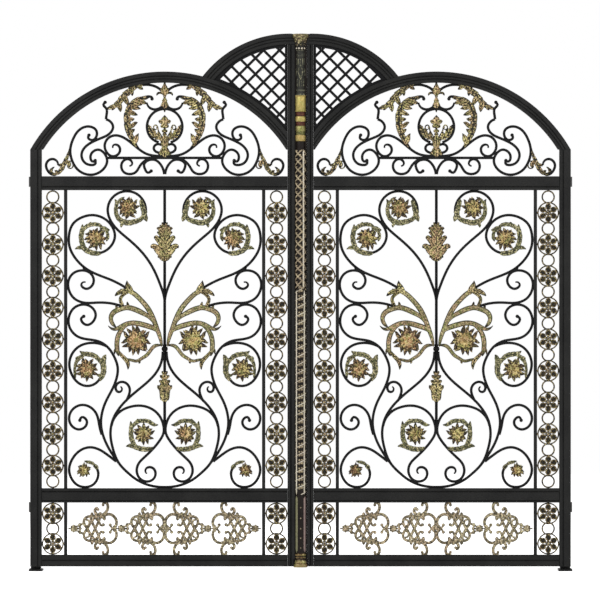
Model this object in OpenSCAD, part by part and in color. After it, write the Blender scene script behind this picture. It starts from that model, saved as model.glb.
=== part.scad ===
// Arched double driveway gate of wrought and cast iron, closed.
// Origin: centre of the left foot flange's underside, on the ground.
// +X to the right, +Y to the back, +Z up.
// Leaf pieces are drawn about the gate's axis, in the leaves' middle plane, and moved into place together.

/* [Gate] */
// Width over the two outer stiles
gate_w = 3242; // [2800:10:3900]
// Depth of the leaf frame, front to back
leaf_d = 50; // [40:1:60]
// Height of the leaves' lower edge above the ground
ground_gap = 30; // [20:1:60]
// Running gap between the column and the right leaf
meeting_gap = 5.4; // [5:0.1:12]
// Gap between welded neighbours
seat = 0.3; // [0.2:0.1:0.5]

/* [Frame members] */
// Width of an outer stile
stile_w = 69; // [55:1:85]
// Distance from the gate's axis to a meeting stile's far edge
meeting_edge = 78; // [72:1:90]
// Height of the bottom rail
bottom_rail_h = 70; // [60:1:85]
// Height of the rail over the bottom panel
lower_rail_h = 86; // [70:1:103]
// Height of the rail under the tympanum
transom_h = 83; // [70:1:100]
// Height of the bottom panel
bottom_panel_h = 313; // [290:1:380]
// Height of the main panel
main_panel_h = 1788; // [1490:1:2150]
// Width of a ring strip between stile and mullion
strip_w = 133; // [110:1:160]
// Width of a mullion
mullion_w = 20; // [14:1:24]
// Depth of a mullion
mullion_d = 24; // [16:1:30]

/* [Arches] */
// Height of the springing above the transom rail
spring_h = 160; // [130:1:192]
// Rise of a leaf arch above its springing
arch_rise = 468; // [390:1:560]
// Width of the arch bands
arch_w = 66; // [55:1:80]
// Outer radius of the crest arch
crest_r = 660; // [620:1:700]
// Distance from the gate's axis to the centre of a crest arch's circle
crest_x = 65; // [54:1:76]
// Height of the crest over the leaf arches
crest_over = 228; // [200:1:270]
// Depth of the crest arch
crest_d = 44; // [36:1:50]
// Spacing of the lattice bars, from bar to bar
lattice_pitch = 68; // [56:1:82]
// Width of a lattice bar
lattice_bar = 16; // [10:0.5:18]

/* [Castings and scrolls] */
// Width of a scroll bar, seen from the front
bar_w = 13; // [11:0.5:16]
// Depth of a scroll bar
bar_d = 14; // [10:0.5:16]
// Depth of the cast leaves and rosettes
cast_d = 24; // [18:1:30]
// Wall of the cast rings
ring_wall = 10; // [8:0.5:12]
// Outer diameter of the small rings
small_ring = 81; // [70:1:90]
// Depth of the ring chains
chain_d = 16; // [12:1:22]

/* [Column] */
// Radius of the centre column
column_r = 33.6; // [28:0.1:36]
// Depth of the flat bar through the column's upper part
web_d = 20; // [14:1:30]
// Radius of the capital
capital_r = 51; // [46:1:56]
// Height of the capital
capital_h = 98; // [80:1:108]
// Radius of the foot
foot_r = 42; // [38:1:50]
// Height of the foot plate
foot_h = 20; // [16:1:24]
// Height of the cone over the foot plate
foot_cone_h = 30; // [25:1:36]
// Height of the plain neck over the cone
foot_neck_h = 36; // [30:1:45]
// Distance from the crest's top down to the capital's top
capital_drop = 1; // [0:1:6]
// Distance from the crest's top down to the collar's foot
collar_drop = 692; // [600:1:800]
// Height above the ground where the net sleeve starts
sleeve_z = 456; // [400:1:540]

/* [Posts and hinges] */
// Width of a post
post_w = 60; // [50:1:68]
// Depth of a post
post_d = 100; // [80:1:120]
// Distance from the arch's springing down to a post's top
post_drop = 50; // [30:1:110]
// Thickness of a post's welded cap
cap_t = 8; // [5:1:10]
// Wall of a post
post_wall = 5; // [4:0.5:8]
// Gap between a leaf's back and its post
hinge_gap = 30; // [28:1:40]
// Outer radius of a hinge barrel
barrel_r = 11; // [9:0.5:12]
// Radius of a hinge pin
pin_r = 6; // [5:0.5:7]
// Running clearance between pin and eye
pin_clear = 0.08; // [0.02:0.01:0.1]
// Height of one knuckle
knuckle_h = 30; // [25:1:40]
// Height of the lower hinge's parting line
low_hinge_z = 384; // [340:1:460]
// Distance from the arch's springing down to the upper hinge's parting line
high_hinge_drop = 192; // [150:1:330]
// Thickness of a foot flange
flange_t = 12; // [10:1:20]
// Depth of a foot flange
flange_d = 180; // [170:1:220]
// Radius of an anchor hole
anchor_r = 7; // [6:0.5:9]
// Spacing of the anchor holes, side to side
anchor_x = 50; // [46:1:52]
// Spacing of the anchor holes, front to back
anchor_y = 144; // [136:1:150]

/* [Hidden] */
$fn = 180;
iron = [0.13, 0.13, 0.13];
gilt = [0.55, 0.47, 0.25];
steel = [0.2, 0.2, 0.2];

half_w = gate_w / 2;
gate_x = half_w - post_w / 2;
leaf_y = -(post_d / 2 + hinge_gap + leaf_d / 2);
stile_in = -half_w + stile_w;
leaf_c = (stile_in - meeting_edge) / 2;
strip_c = (stile_in + strip_w / 2 - leaf_c);
scroll_half = -meeting_edge - strip_w - mullion_w - leaf_c;

z_bottom = ground_gap;
z_bottom_panel = z_bottom + bottom_rail_h;
z_lower_rail = z_bottom_panel + bottom_panel_h;
z_main = z_lower_rail + lower_rail_h;
z_transom = z_main + main_panel_h;
z_tympanum = z_transom + transom_h;
z_spring = z_tympanum + spring_h;
z_crown = z_spring + arch_rise;

half_chord = leaf_c + half_w;
arch_r = (half_chord * half_chord + arch_rise * arch_rise) / (2 * arch_rise);
arch_cz = z_crown - arch_r;
arch_in = arch_r - arch_w;
z_crest = z_crown + crest_over;
crest_cz = z_crest - crest_r;
crest_in = crest_r - arch_w;

meeting_in = column_r + seat;
right_in = column_r + meeting_gap;
post_top = z_spring - post_drop;
high_hinge_z = z_spring - high_hinge_drop;
capital_z = z_crest - capital_drop - capital_h;
foot_z = ground_gap - 6;
foot_top = foot_z + foot_h + foot_cone_h;
collar_z = z_crest - collar_drop;
capital_side = [
    [column_r, 0], [column_r, capital_h * 0.5], [capital_r - 6, capital_h * 0.78],
    [capital_r, capital_h * 0.8], [capital_r, capital_h]
];

// The scroll drawings are made on square grids that stretch with their panel.
scroll_grid = scroll_half / 97.2;
main_grid = main_panel_h / 298;
tymp_grid = half_chord / 134.3;
tymp_up = (z_crown - arch_w - z_tympanum) / 93.7;
cast_grid = scroll_half * 2 / 194.4;
cast_up = bottom_panel_h / 52.2;
rosette_grid = min(scroll_grid, main_grid);

// Profiles: bands side by side, each [from, to, half depth], given one outline.
edge = 2.5;
function band_points(b) = let (c = min(edge, (b[1] - b[0]) / 4)) [
    [b[0], b[2] - c], [b[0] + c, b[2]], [b[1] - c, b[2]], [b[1], b[2] - c]
];
function band_front(bands) = [for (b = bands) each band_points(b)];
module banded(bands) {
    front = band_front(bands);
    polygon(concat(front, [for (i = [len(front) - 1:-1:0]) [front[i][0], -front[i][1]]]));
}
// A stack of bands that fills a width: each entry is [share of the width, half depth].
function band_start(parts, i) = i == 0 ? 0 : band_start(parts, i - 1) + parts[i - 1][0];
function bands_of(parts, w, cut = 0) = [
    for (i = [0:len(parts) - 1])
        [band_start(parts, i) * w, (band_start(parts, i) + parts[i][0]) * w, parts[i][1] - cut]
];
deep = leaf_d / 2;
stile_bands = [[0.62, deep], [0.06, deep - 7], [0.32, deep - 3]];
meeting_bands = [[0.42, deep - 3], [0.12, deep - 9], [0.46, deep]];
bottom_bands = [[0.47, deep], [0.06, deep - 7], [0.47, deep - 3]];
lower_bands = [[0.12, deep - 5], [0.03, deep - 9], [0.58, deep], [0.05, deep - 7], [0.22, deep - 3]];
transom_bands = [[0.22, deep - 3], [0.05, deep - 7], [0.73, deep]];
arch_bands = [[0.3, deep - 2], [0.05, deep - 8], [0.22, deep - 4], [0.05, deep - 8], [0.38, deep]];

// Curves through hand-set points, and strokes of a given width along them.
function spline_at(a, b, c, d, t) =
    0.5 * (2 * b + (c - a) * t + (2 * a - 5 * b + 4 * c - d) * t * t + (3 * b - a - 3 * c + d) * t * t * t);
function curve(p, n = 2) = let (last = len(p) - 1) concat(
    [for (i = [0:last - 1], k = [0:n - 1])
        spline_at(p[max(i - 1, 0)], p[i], p[i + 1], p[min(i + 2, last)], k / n)],
    [p[last]]
);
function along(c, i) = let (a = c[max(i - 1, 0)], b = c[min(i + 1, len(c) - 1)]) (b - a) / norm(b - a);
function beside(c, i, r) = let (t = along(c, i)) c[i] + r * [-t[1], t[0]];
function stroke(c, w) = concat(
    [for (i = [0:len(c) - 1]) beside(c, i, w / 2)],
    [for (i = [len(c) - 1:-1:0]) beside(c, i, -w / 2)]
);
// A leaf's blade swells in the middle and narrows to both ends.
function blade(c, w, tip) = let (n = len(c) - 1) concat(
    [for (i = [0:n]) beside(c, i, tip + (w - tip) * sin(180 * i / n))],
    [for (i = [n:-1:0]) beside(c, i, -(tip + (w - tip) * sin(180 * i / n)))]
);
function fitted(p, sx, sz) = [for (q = p) [q[0] * sx, q[1] * sz]];

module bar_along(p, sx, sz, w = bar_w) {
    polygon(stroke(curve(fitted(p, sx, sz)), w));
}
// A blade starts just clear of the bar's end that it grows from.
function clear_start(p) = concat(
    [p[0] + 2 * seat * (p[1] - p[0]) / norm(p[1] - p[0])], [for (i = [1:len(p) - 1]) p[i]]
);
module blade_along(p, sx, sz, w, tip = 3) {
    polygon(blade(curve(clear_start(fitted(p, sx, sz))), w / 2, tip));
}
module both_sides() {
    children();
    mirror([1, 0]) children();
}
// A flat shape drawn in the gate's plane, given its depth about the middle plane.
module upright(d) {
    rotate([90, 0, 0]) linear_extrude(d, center = true) children();
}
module at_gate() {
    translate([gate_x, leaf_y, 0]) children();
}
module rail(x0, x1, z, h, parts) {
    translate([x1, 0, z]) rotate([0, -90, 0]) linear_extrude(x1 - x0) banded(bands_of(parts, h));
}
module on_leaf(side) {
    at_gate() {
        if (side < 0) children();
        else mirror([1, 0, 0]) children();
    }
}

// Frame of a leaf
module outer_stile() {
    color(iron) translate([-half_w, 0, z_bottom]) linear_extrude(z_spring - z_bottom)
        banded(bands_of(stile_bands, stile_w));
}
// The capital's side view, widened by a margin and drawn up past the crest, cut out of what stands beside it.
// The moving right leaf keeps clear of a straight line from the capital's foot to its lip.
module capital_room(margin) {
    view = margin > seat ? [capital_side[0], capital_side[3], capital_side[4]] : capital_side;
    last = len(view) - 1;
    translate([0, leaf_d, 0]) rotate([90, 0, 0]) linear_extrude(2 * leaf_d) polygon([
        for (side = [-1, 1], i = [0:last])
            let (point = view[side < 0 ? i : last - i], drop = point[1] < capital_h ? margin : -capital_h)
                [side * (point[0] + margin), capital_z + point[1] - drop]
    ]);
}
module meeting_stile(inner, foot, margin) {
    color(iron) difference() {
        translate([-meeting_edge, 0, z_bottom]) linear_extrude(z_crest - z_bottom)
            banded(bands_of(meeting_bands, meeting_edge - inner));
        translate([-crest_x, leaf_d, crest_cz]) rotate([90, 0, 0]) linear_extrude(2 * leaf_d) difference() {
            translate([-crest_r, 0]) square([2 * crest_r, crest_r + 1]);
            circle(crest_in - seat);
        }
        capital_room(margin);
        if (foot > inner)
            translate([-foot, -leaf_d, 0]) cube([leaf_d, 2 * leaf_d, foot_top]);
    }
}
module frame_rail(z, h, parts) {
    color(iron) rail(stile_in + seat, -meeting_edge - seat, z, h, parts);
}
// A ring of the arch's profile, in the gate's plane, cut by what is given.
module arch_ring(r, w, d) {
    rotate([90, 0, 0]) rotate_extrude() translate([r - w, 0])
        banded(bands_of(arch_bands, w, (leaf_d - d) / 2));
}
module leaf_arch() {
    color(iron) intersection() {
        translate([leaf_c, 0, arch_cz]) arch_ring(arch_r, arch_w, leaf_d);
        translate([-half_w, -leaf_d, z_spring + seat])
            cube([half_w - meeting_edge - seat, 2 * leaf_d, arch_rise + arch_w]);
    }
}
module crest_arch(inner, margin) {
    color(iron) difference() {
        intersection() {
            translate([-crest_x, 0, crest_cz]) arch_ring(crest_r, arch_w, crest_d);
            translate([-crest_x - crest_r, -leaf_d, z_spring])
                cube([crest_x + crest_r - inner, 2 * leaf_d, z_crest - z_spring + 1]);
        }
        capital_room(margin);
        translate([leaf_c, leaf_d, arch_cz]) rotate([90, 0, 0]) cylinder(h = 2 * leaf_d, r = arch_r + seat);
    }
}
// The space between the crest arch, the leaf arch and the meeting stile, drawn in by a margin.
module crest_field(margin) {
    difference() {
        intersection() {
            translate([-crest_x, crest_cz]) circle(crest_in - margin);
            translate([-crest_x - crest_r, z_spring])
                square([crest_x + crest_r - meeting_edge - margin, z_crest - z_spring]);
        }
        translate([leaf_c, arch_cz]) circle(arch_r + margin);
    }
}
module crest_lattice() {
    reach = ceil(crest_r / lattice_pitch);
    color(iron) upright(lattice_bar) {
        intersection() {
            crest_field(lattice_bar / 2);
            translate([-meeting_edge - 48, z_crest - 99]) union() {
                for (turn = [45, -45], i = [-reach:reach]) {
                    rotate(turn) translate([i * lattice_pitch - lattice_bar / 2, -crest_r])
                        square([lattice_bar, 2 * crest_r]);
                }
            }
        }
        difference() {
            crest_field(seat);
            crest_field(lattice_bar);
        }
    }
}
module mullions() {
    color(iron) for (s = [-1, 1], level = [[z_bottom_panel, bottom_panel_h], [z_main, main_panel_h]]) {
        translate([leaf_c + s * (scroll_half + mullion_w / 2) - mullion_w / 2, 0, level[0] + seat])
            linear_extrude(level[1] - 2 * seat) banded([[0, mullion_w, mullion_d / 2]]);
    }
}

// Ring strips: large rings with six spokes, joined by small plain rings.
large_ring = strip_w - 2 * seat;
module ring(d) {
    difference() {
        circle(d / 2);
        circle(d / 2 - ring_wall);
    }
}
module rosette_ring() {
    ring(large_ring);
    circle(large_ring * 0.18);
    for (a = [30, 90, 150])
        rotate(a) square([large_ring - ring_wall, large_ring * 0.17], center = true);
}
module ring_chains() {
    span = main_panel_h - 2 * seat - small_ring;
    large_rings = round(span / (large_ring + small_ring - 2.4 * ring_wall));
    pitch = span / large_rings;
    low = z_bottom_panel + seat + large_ring / 2;
    high = z_lower_rail - seat - large_ring / 2;
    middle_ring = min(large_ring, max(small_ring, high - low - large_ring + 2 * ring_wall));
    color(gilt) for (s = [-1, 1]) translate([leaf_c + s * strip_c, 0, 0]) {
        upright(chain_d) {
            translate([0, z_main + seat + small_ring / 2]) {
                for (i = [0:large_rings]) translate([0, i * pitch]) ring(small_ring);
                for (i = [0:large_rings - 1]) translate([0, (i + 0.5) * pitch]) rosette_ring();
            }
        }
        upright(chain_d) {
            for (z = [low, high]) translate([0, z]) rosette_ring();
            translate([0, (low + high) / 2]) ring(middle_ring);
        }
    }
}

// Tympanum scrolls, on a grid from the leaf's centreline and the transom rail's top.
// A bar that comes down on the rail is drawn a little into it and cut flush.
tymp_low = bar_w * 0.42 / tymp_up;
tymp_bars = [
    [[-57.6, 18.4], [-30, 18.4], [0, 18.4]],
    [[-34.6, 9.1], [-33.1, 13.4], [-37.5, 16.3], [-43.2, 9.6], [-35.1, 1.8], [-26.9, 8.6], [-21.2, 13.9],
        [-16.4, 16.8]],
    [[-13.1, 5.3], [-16.4, 2.9], [-19.8, 8.6], [-11.6, 16.4], [-3, 9.6], [0, tymp_low]],
    [[-76.5, 38.3], [-72.4, 36.2], [-68.1, 40.2], [-68.5, 46], [-75.7, 49.8], [-85.3, 46.4], [-91.5, 37.3],
        [-94.4, 25.9], [-92, 14.4], [-85.3, 5.3], [-73.8, 1.5], [-63.3, 5.3], [-57.5, 15.3], [-60.4, 23],
        [-66.2, 26.6], [-71.9, 24.4], [-73.8, 19.6]],
    [[-61.4, 71.3], [-58.5, 68], [-58, 62.2], [-58.7, 57]],
    [[-58.7, 57], [-53.7, 54.1], [-51.6, 49.8], [-54.7, 43.1], [-63.3, 38.3], [-71.9, 34.5], [-79.5, 29.2],
        [-83.1, 22], [-81, 14.9], [-74.3, 11.3], [-68.5, 13.9]],
    [[-51.8, 28.3], [-51.3, 31.1], [-48, 31.6], [-44.6, 27.3], [-47, 21.6], [-52.8, 20.1], [-58.5, 24.9],
        [-59.9, 31.6], [-55.6, 38.8], [-48.9, 40.9], [-41.3, 38.8], [-33.6, 33.5], [-26, 27.3],
        [-18.3, 22.5], [-10.7, 20.6], [0, 20.6]],
    [[-17.8, 73.7], [-15.9, 69.4], [-10.7, 66.9], [-4.9, 68.2], [0, 74.5]],
    [[0, 80.4], [-5.9, 88], [-13.5, 91.1], [-22.1, 91.4]],
    [[-26, 27.3], [-28.2, 30.5]],
    [[-5.9, 34], [-14, 39], [-17.7, 49.8], [-12.5, 62.3], [0, 67.5]],
    [[-3, 28.3], [-6.8, 32.3], [-10.8, 28.3], [-6.8, 24.3], [0, 20.6]],
    [[-110.6, tymp_low], [-114.9, 3.9], [-118.3, 10.6], [-115.9, 15.8], [-111.6, 17.3], [-107.3, 13.9],
        [-106.3, 10.1]]
];
// The bars that run through a casting; it is grooved for them.
tymp_crossed = [3, 5, 6, 7, 8, 9, 10, 11, 12];
tymp_blades = [
    [[-28.2, 30.5], [-33.6, 39.3], [-37.5, 50.7], [-37.9, 60.3], [-34.6, 69.9], [-27.9, 75.6],
        [-19.3, 78.5], [-12.6, 79.4]],
    [[-22.1, 91.4], [-29.8, 88], [-35.5, 82.3], [-41.3, 75.6], [-48, 69.9], [-56, 68]],
    [[-94.4, 26.8], [-96.8, 19.2], [-99.6, 10.6], [-104.4, 3.6], [-110, 1.8]]
];
module in_tympanum() {
    intersection() {
        translate([leaf_c, z_tympanum + seat]) children();
        translate([leaf_c, arch_cz]) circle(arch_in - seat);
        translate([stile_in + seat, z_tympanum + seat])
            square([-meeting_edge - stile_in - 2 * seat, z_crown - z_tympanum]);
    }
}
module tympanum_net(w, which) {
    in_tympanum() both_sides() {
        for (i = which) bar_along(tymp_bars[i], tymp_grid, tymp_up, w);
    }
}
module tympanum_scrolls() {
    color(iron) upright(bar_d) tympanum_net(bar_w, [0:len(tymp_bars) - 1]);
}
module tympanum_leaves() {
    color(gilt) difference() {
        upright(cast_d) in_tympanum() {
            both_sides() for (p = tymp_blades) blade_along(p, tymp_grid, tymp_up, 30);
            blade_along([[0, 21.7], [0, 34], [0, 48], [0, 61]], tymp_grid, tymp_up, 8.33 * tymp_grid);
            blade_along([[0, 81.6], [0, 85], [0, 88], [0, 92.5]], tymp_grid, tymp_up, 5 * tymp_grid);
        }
        upright(bar_d + 2 * seat) tympanum_net(bar_w + 2 * seat, tymp_crossed);
    }
}

// Panel scrolls, on a grid from the leaf's centreline and the lower rail's top.
panel_low = bar_w * 0.48 / main_grid;
panel_high = (main_panel_h - 2 * seat) / main_grid;
// Where two bars run side by side they are welded together.
merged = (bar_w - 1.6) / scroll_grid;
panel_bars = [
    [[0, 69], [0, 180], [0, panel_high]],
    [[0, 180], [-0.9, 192.7], [-4.3, 203.2], [-11.9, 220.4], [-23.4, 236.7], [-38.7, 251], [-49.5, 261],
        [-55.3, 270.4], [-56.9, 278], [-54.4, 287.4], [-47.3, 294.4], [-37.8, panel_high - panel_low],
        [-28.2, 294.4], [-21.3, 287.4], [-18.7, 277.8]],
    [[-35.9, 198.4], [-53.1, 208], [-77, 218.5], [-88.5, 229], [-95.2, 242.4], [-95.7, 251], [-91.4, 264.4],
        [-81.8, 271.1], [-71.3, 273], [-59.8, 269.2], [-53.1, 262.5], [-49.7, 252], [-52.1, 244.3],
        [-57.9, 238.1], [-64.6, 235.2]],
    [[-43.5, 182.1], [-52.1, 184.5], [-67.4, 185.5], [-80.8, 185.5], [-90.4, 189.8], [-95.7, 198.4],
        [-96.1, 207], [-91.4, 214.7], [-82.7, 217.7], [-75.1, 215.6], [-70.8, 208], [-73.2, 201.7],
        [-78, 199.4], [-82.3, 201.7]],
    [[-83.7, 169.7], [-81.8, 165.4], [-77, 163.2], [-71.3, 166.8], [-68.9, 173.5], [-72.2, 180.2],
        [-80.8, 183.6], [-90.4, 180.2], [-95.2, 172.6], [-95.7, 163.4], [-93.3, 157.7], [-86.6, 151.5],
        [-77, 148.8], [-67.4, 147.2], [-57.9, 141.9], [-50.2, 130.9], [-46.9, 120.4], [-47.8, 110.8],
        [-51.2, 101.2], [-58.8, 86.4], [-62.7, 74.4], [-63.6, 64.9], [-62.2, 55.3], [-57.9, 43.8],
        [-51.2, 32.4], [-45.5, 24.7]],
    [[-57.9, 141.7], [-65, 144.4], [-73.7, 145.2], [-84.4, 142.3], [-92.3, 134.5], [-95.2, 123.7],
        [-92.6, 113.3], [-86.5, 105.5], [-78, 102.2], [-70.2, 104], [-64.6, 109.8]],
    [[-84.7, 67.8], [-82.3, 71.1], [-78, 67.8], [-78.9, 62], [-85.6, 58.7], [-93.3, 63], [-95.4, 70.6],
        [-91.4, 79.2], [-82.7, 83.2], [-73.2, 80.2], [-67.4, 72.5], [-65.3, 63], [-62.8, 53.4]],
    [[-48.5, 26.6], [-57, 33.2], [-66.1, 38.9], [-75.3, 40.8], [-85.3, 37], [-92.9, 27.8], [-95.4, 18.6],
        [-92.9, 9.4], [-86.8, 2.9], [-79.9, panel_low], [-72.3, 2.9], [-66.9, 10.2], [-66.9, 17.8],
        [-70.7, 22.4]],
    [[-merged, 136.6], [-3.3, 126.1], [-8.1, 116.1], [-16.7, 106.5], [-29.2, 96], [-39.7, 86.4],
        [-46.4, 78.3], [-51.2, 69.7], [-53.6, 61.1], [-54, 51.5], [-52.1, 41], [-45.5, 24.7],
        [-37.8, 16.3], [-29.4, 9.4], [-20.2, 4.5], [-10.3, 1.8], [0, panel_low]],
    [[-38.7, 86.9], [-35.9, 92.6], [-34.9, 99.3], [-38.7, 105.1], [-43.5, 106.2], [-48.3, 103.6],
        [-49.4, 99.8], [-46.9, 96], [-43.5, 96.6]],
    [[-53.1, 62.2], [-50.8, 69.1], [-43.2, 77.5], [-34, 81.4], [-25.6, 82.5], [-14.1, 79.8], [-5.7, 72.9],
        [-1.5, 63.8], [-1.1, 55.3], [-4.9, 47.7], [-11, 40], [-20.2, 30.9], [-26.3, 24], [-27.9, 17.1],
        [-26.3, 11.7], [-22.5, 7.9], [-16.4, 6.7], [-11, 9.4], [-9.1, 14.8], [-11, 19.4], [-15.2, 20.9],
        [-18.7, 18.6]],
    [[-80, 217.3], [-81, 221.5]]
];
// The bars that run through a casting; it is grooved for them.
panel_crossed = [0, 1, 2, 3, 4, 5, 8];
hub_blades = [
    [[-2.4, 143.2], [-7.4, 163.2], [-14.8, 176.4], [-26.3, 189.8], [-35.2, 198]],
    [[-3, 143.8], [-10, 166.8], [-19.6, 174.5], [-31.1, 179.7], [-42.6, 182]],
    [[-3.3, 144.3], [-10, 155.8], [-19.6, 162.5], [-31.1, 165.8], [-42.6, 164.4], [-56, 162]],
    [[-1.4, 142.4], [-9.1, 143.2], [-13.9, 138.5], [-21.5, 129.9], [-33, 128.5], [-42.6, 133.8]]
];
// Each rosette: centre on the grid, and radius in grid steps.
rosette_places = [
    [-36.8, 278.8, 14], [-68.4, 251, 14], [-74.4, 123.1, 13.6], [-18.7, 54.6, 14.1], [-79.9, 18.5, 7.7]
];
// The leaf that carries each rosette grows from its scroll.
// It ends at a place given from the rosette's centre.
rosette_leaves = [
    [[-18.7, 277.8], [-18.6, 272], [-22.5, 267.8]],
    [[-64.6, 235.2], [-72, 234.2], [-78.5, 237.2]],
    [[-64.6, 109.8], [-60.6, 115], [-60, 122]],
    [[-11, 40], [-14.5, 38.9], [-18.7, 39.3]],
    [[-70.8, 22.5], [-72, 23.9], [-76, 23.5]]
];
rosette_joins = [[8.8, -9.8], [-11.6, -7.5], [11.4, 4.9], [-4.3, -12.8], [0, 0]];
// The bar that a rosette is grooved for.
rosette_crossed = [10];
module in_panel() {
    intersection() {
        translate([leaf_c, z_main + seat]) children();
        translate([leaf_c - scroll_half + seat, z_main + seat])
            square([2 * (scroll_half - seat), main_panel_h - 2 * seat]);
    }
}
module panel_net(w, which) {
    in_panel() both_sides() {
        for (i = which) bar_along(panel_bars[i], scroll_grid, main_grid, w);
    }
}
module panel_scrolls() {
    color(iron) upright(bar_d) panel_net(bar_w, [0:len(panel_bars) - 1]);
}
module panel_leaves() {
    color(gilt) difference() {
        upright(cast_d) in_panel() {
            both_sides() {
                for (p = hub_blades) blade_along(p, scroll_grid, main_grid, 42);
                translate([-28.2 * scroll_grid, 146.2 * main_grid]) circle(14.4 * scroll_grid);
            }
            blade_along([[0, 133], [0, 140], [0, 150], [0, 162]], scroll_grid, main_grid, 10 * scroll_grid);
            blade_along([[0, 226], [0, 240], [0, 252], [0, 268]], scroll_grid, main_grid, 21.6 * scroll_grid);
            blade_along([[0, 88], [0, 98], [0, 108], [0, 118]], scroll_grid, main_grid, 13.3 * scroll_grid);
        }
        upright(bar_d + 2 * seat) panel_net(bar_w + 2 * seat, panel_crossed);
    }
}
module rosette(place, leaf, join) {
    centre = [place[0] * scroll_grid, place[1] * main_grid];
    path = concat(fitted(leaf, scroll_grid, main_grid), [centre + join * rosette_grid]);
    translate(centre) circle(place[2] * rosette_grid);
    blade_along(path, 1, 1, 24);
}
module rosettes() {
    color(gilt) difference() {
        upright(cast_d) in_panel() both_sides() {
            for (i = [0:len(rosette_places) - 1])
                rosette(rosette_places[i], rosette_leaves[i], rosette_joins[i]);
        }
        upright(bar_d + 2 * seat) panel_net(bar_w + 2 * seat, rosette_crossed);
    }
}

// Bottom castings: four to a leaf, each on a grid from its stem at the left.
cast_step = 48.6;
cast_bars = [
    [[10, 0], [15, 5], [19.2, 9], [23.5, 7.4], [27.8, 4], [31, 0]],
    [[19.2, 9], [23, 14], [28, 15], [33.5, 14.1], [36.5, 17], [36.2, 22]],
    [[29.7, 19], [31, 16], [33.5, 14.1]],
    [[31, 0], [34, 5], [38, 12]]
];
cast_line = 11;
module cast_unit() {
    for (m = [0, 1]) mirror([0, m]) {
        for (p = cast_bars) bar_along(p, cast_grid, cast_up, cast_line);
        translate([41.2 * cast_grid, 7.2 * cast_up]) ring(15.6 * cast_grid);
        translate([29.7 * cast_grid, 19 * cast_up]) circle(2.4 * cast_grid);
        translate([36.2 * cast_grid, bottom_panel_h / 2 - seat - 3.2 * cast_grid]) circle(3.2 * cast_grid);
    }
    translate([seat, -cast_line / 2]) square([cast_step * cast_grid - 2 * seat, cast_line]);
    translate([6.2 * cast_grid, 0]) circle(4.6 * cast_grid);
    translate([12.5 * cast_grid, 0]) circle(2.8 * cast_grid);
    translate([31 * cast_grid, 0]) circle(3.4 * cast_grid);
}
module filigree() {
    color(gilt) upright(chain_d) translate([leaf_c, z_bottom_panel + bottom_panel_h / 2]) both_sides() {
        for (i = [-2, -1]) translate([i * cast_step * cast_grid, 0]) cast_unit();
    }
}

// Centre column, carried by the left leaf's meeting stile
module turned(z) {
    at_gate() translate([0, 0, z]) rotate_extrude() children();
}
module column_foot() {
    neck = foot_h + foot_cone_h;
    color(gilt) turned(foot_z) polygon([
        [0, 0], [foot_r, 0], [foot_r, foot_h], [column_r, neck],
        [column_r, neck + foot_neck_h], [0, neck + foot_neck_h]
    ]);
}
shaft_start = foot_top + foot_neck_h + seat;
module column_shaft() {
    color(iron) at_gate() translate([0, 0, shaft_start])
        cylinder(h = sleeve_z - shaft_start - seat, r = column_r);
}
module column_sleeve() {
    color(gilt) at_gate() translate([0, 0, sleeve_z])
        cylinder(h = collar_z - sleeve_z - seat, r = column_r);
}
// Collar: each step is [height, share of the column's radius].
collar_steps = [[47, 0.86], [37, 1], [20, 0.86], [34, 1], [26, 0.86], [31, 1], [28, 0.86], [98, 1]];
// Flat bar through the collar and the relief, as wide as the column.
module column_web(bottom, h) {
    at_gate() translate([-column_r, -web_d / 2, bottom]) cube([2 * column_r, web_d, h]);
}
module column_collar() {
    color(gilt) column_web(collar_z, collar_h);
    color(gilt) for (i = [0:len(collar_steps) - 1])
        at_gate() translate([0, 0, collar_z + band_start(collar_steps, i)])
            cylinder(h = collar_steps[i][0], r = column_r * collar_steps[i][1]);
}
collar_h = band_start(collar_steps, len(collar_steps));
relief_share = 0.88;
module column_relief() {
    bottom = collar_z + collar_h + seat;
    color(iron) column_web(bottom, capital_z - bottom - seat);
    color(iron) at_gate() translate([0, 0, bottom])
        cylinder(h = capital_z - bottom - seat, r = column_r * relief_share);
}
module column_capital() {
    color(gilt) turned(capital_z) polygon(concat([[0, 0]], capital_side, [[0, capital_h]]));
}

// Posts and hinges
module post() {
    inner_w = post_w - 2 * post_wall;
    inner_d = post_d - 2 * post_wall;
    color(iron) difference() {
        translate([-post_w / 2, -post_d / 2, flange_t]) cube([post_w, post_d, post_top - flange_t]);
        translate([-inner_w / 2, -inner_d / 2, 0]) cube([inner_w, inner_d, post_top - cap_t]);
    }
}
module foot_flange() {
    color(iron) difference() {
        translate([-post_w / 2 - barrel_r, -flange_d / 2, 0])
            cube([post_w + 2 * barrel_r, flange_d, flange_t]);
        for (x = [-1, 1], y = [-1, 1])
            translate([x * anchor_x / 2, y * anchor_y / 2, -1])
                cylinder(h = flange_t + 2, r = anchor_r);
    }
}
axis_y = -(post_d + hinge_gap) / 2;
weld_w = 32;
module at_hinges() {
    for (z = [low_hinge_z, high_hinge_z]) translate([-post_w / 2, axis_y, z]) children();
}
// Fixed half: a knuckle with its pin, welded to the post's front.
module hinge_pins() {
    color(steel) at_hinges() {
        translate([0, 0, -knuckle_h]) cylinder(h = knuckle_h, r = barrel_r);
        translate([0, 0, -knuckle_h]) cube([weld_w, hinge_gap / 2 - seat / 2, knuckle_h]);
        translate([0, 0, -knuckle_h]) cylinder(h = 2 * knuckle_h - 2, r = pin_r);
    }
}
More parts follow.
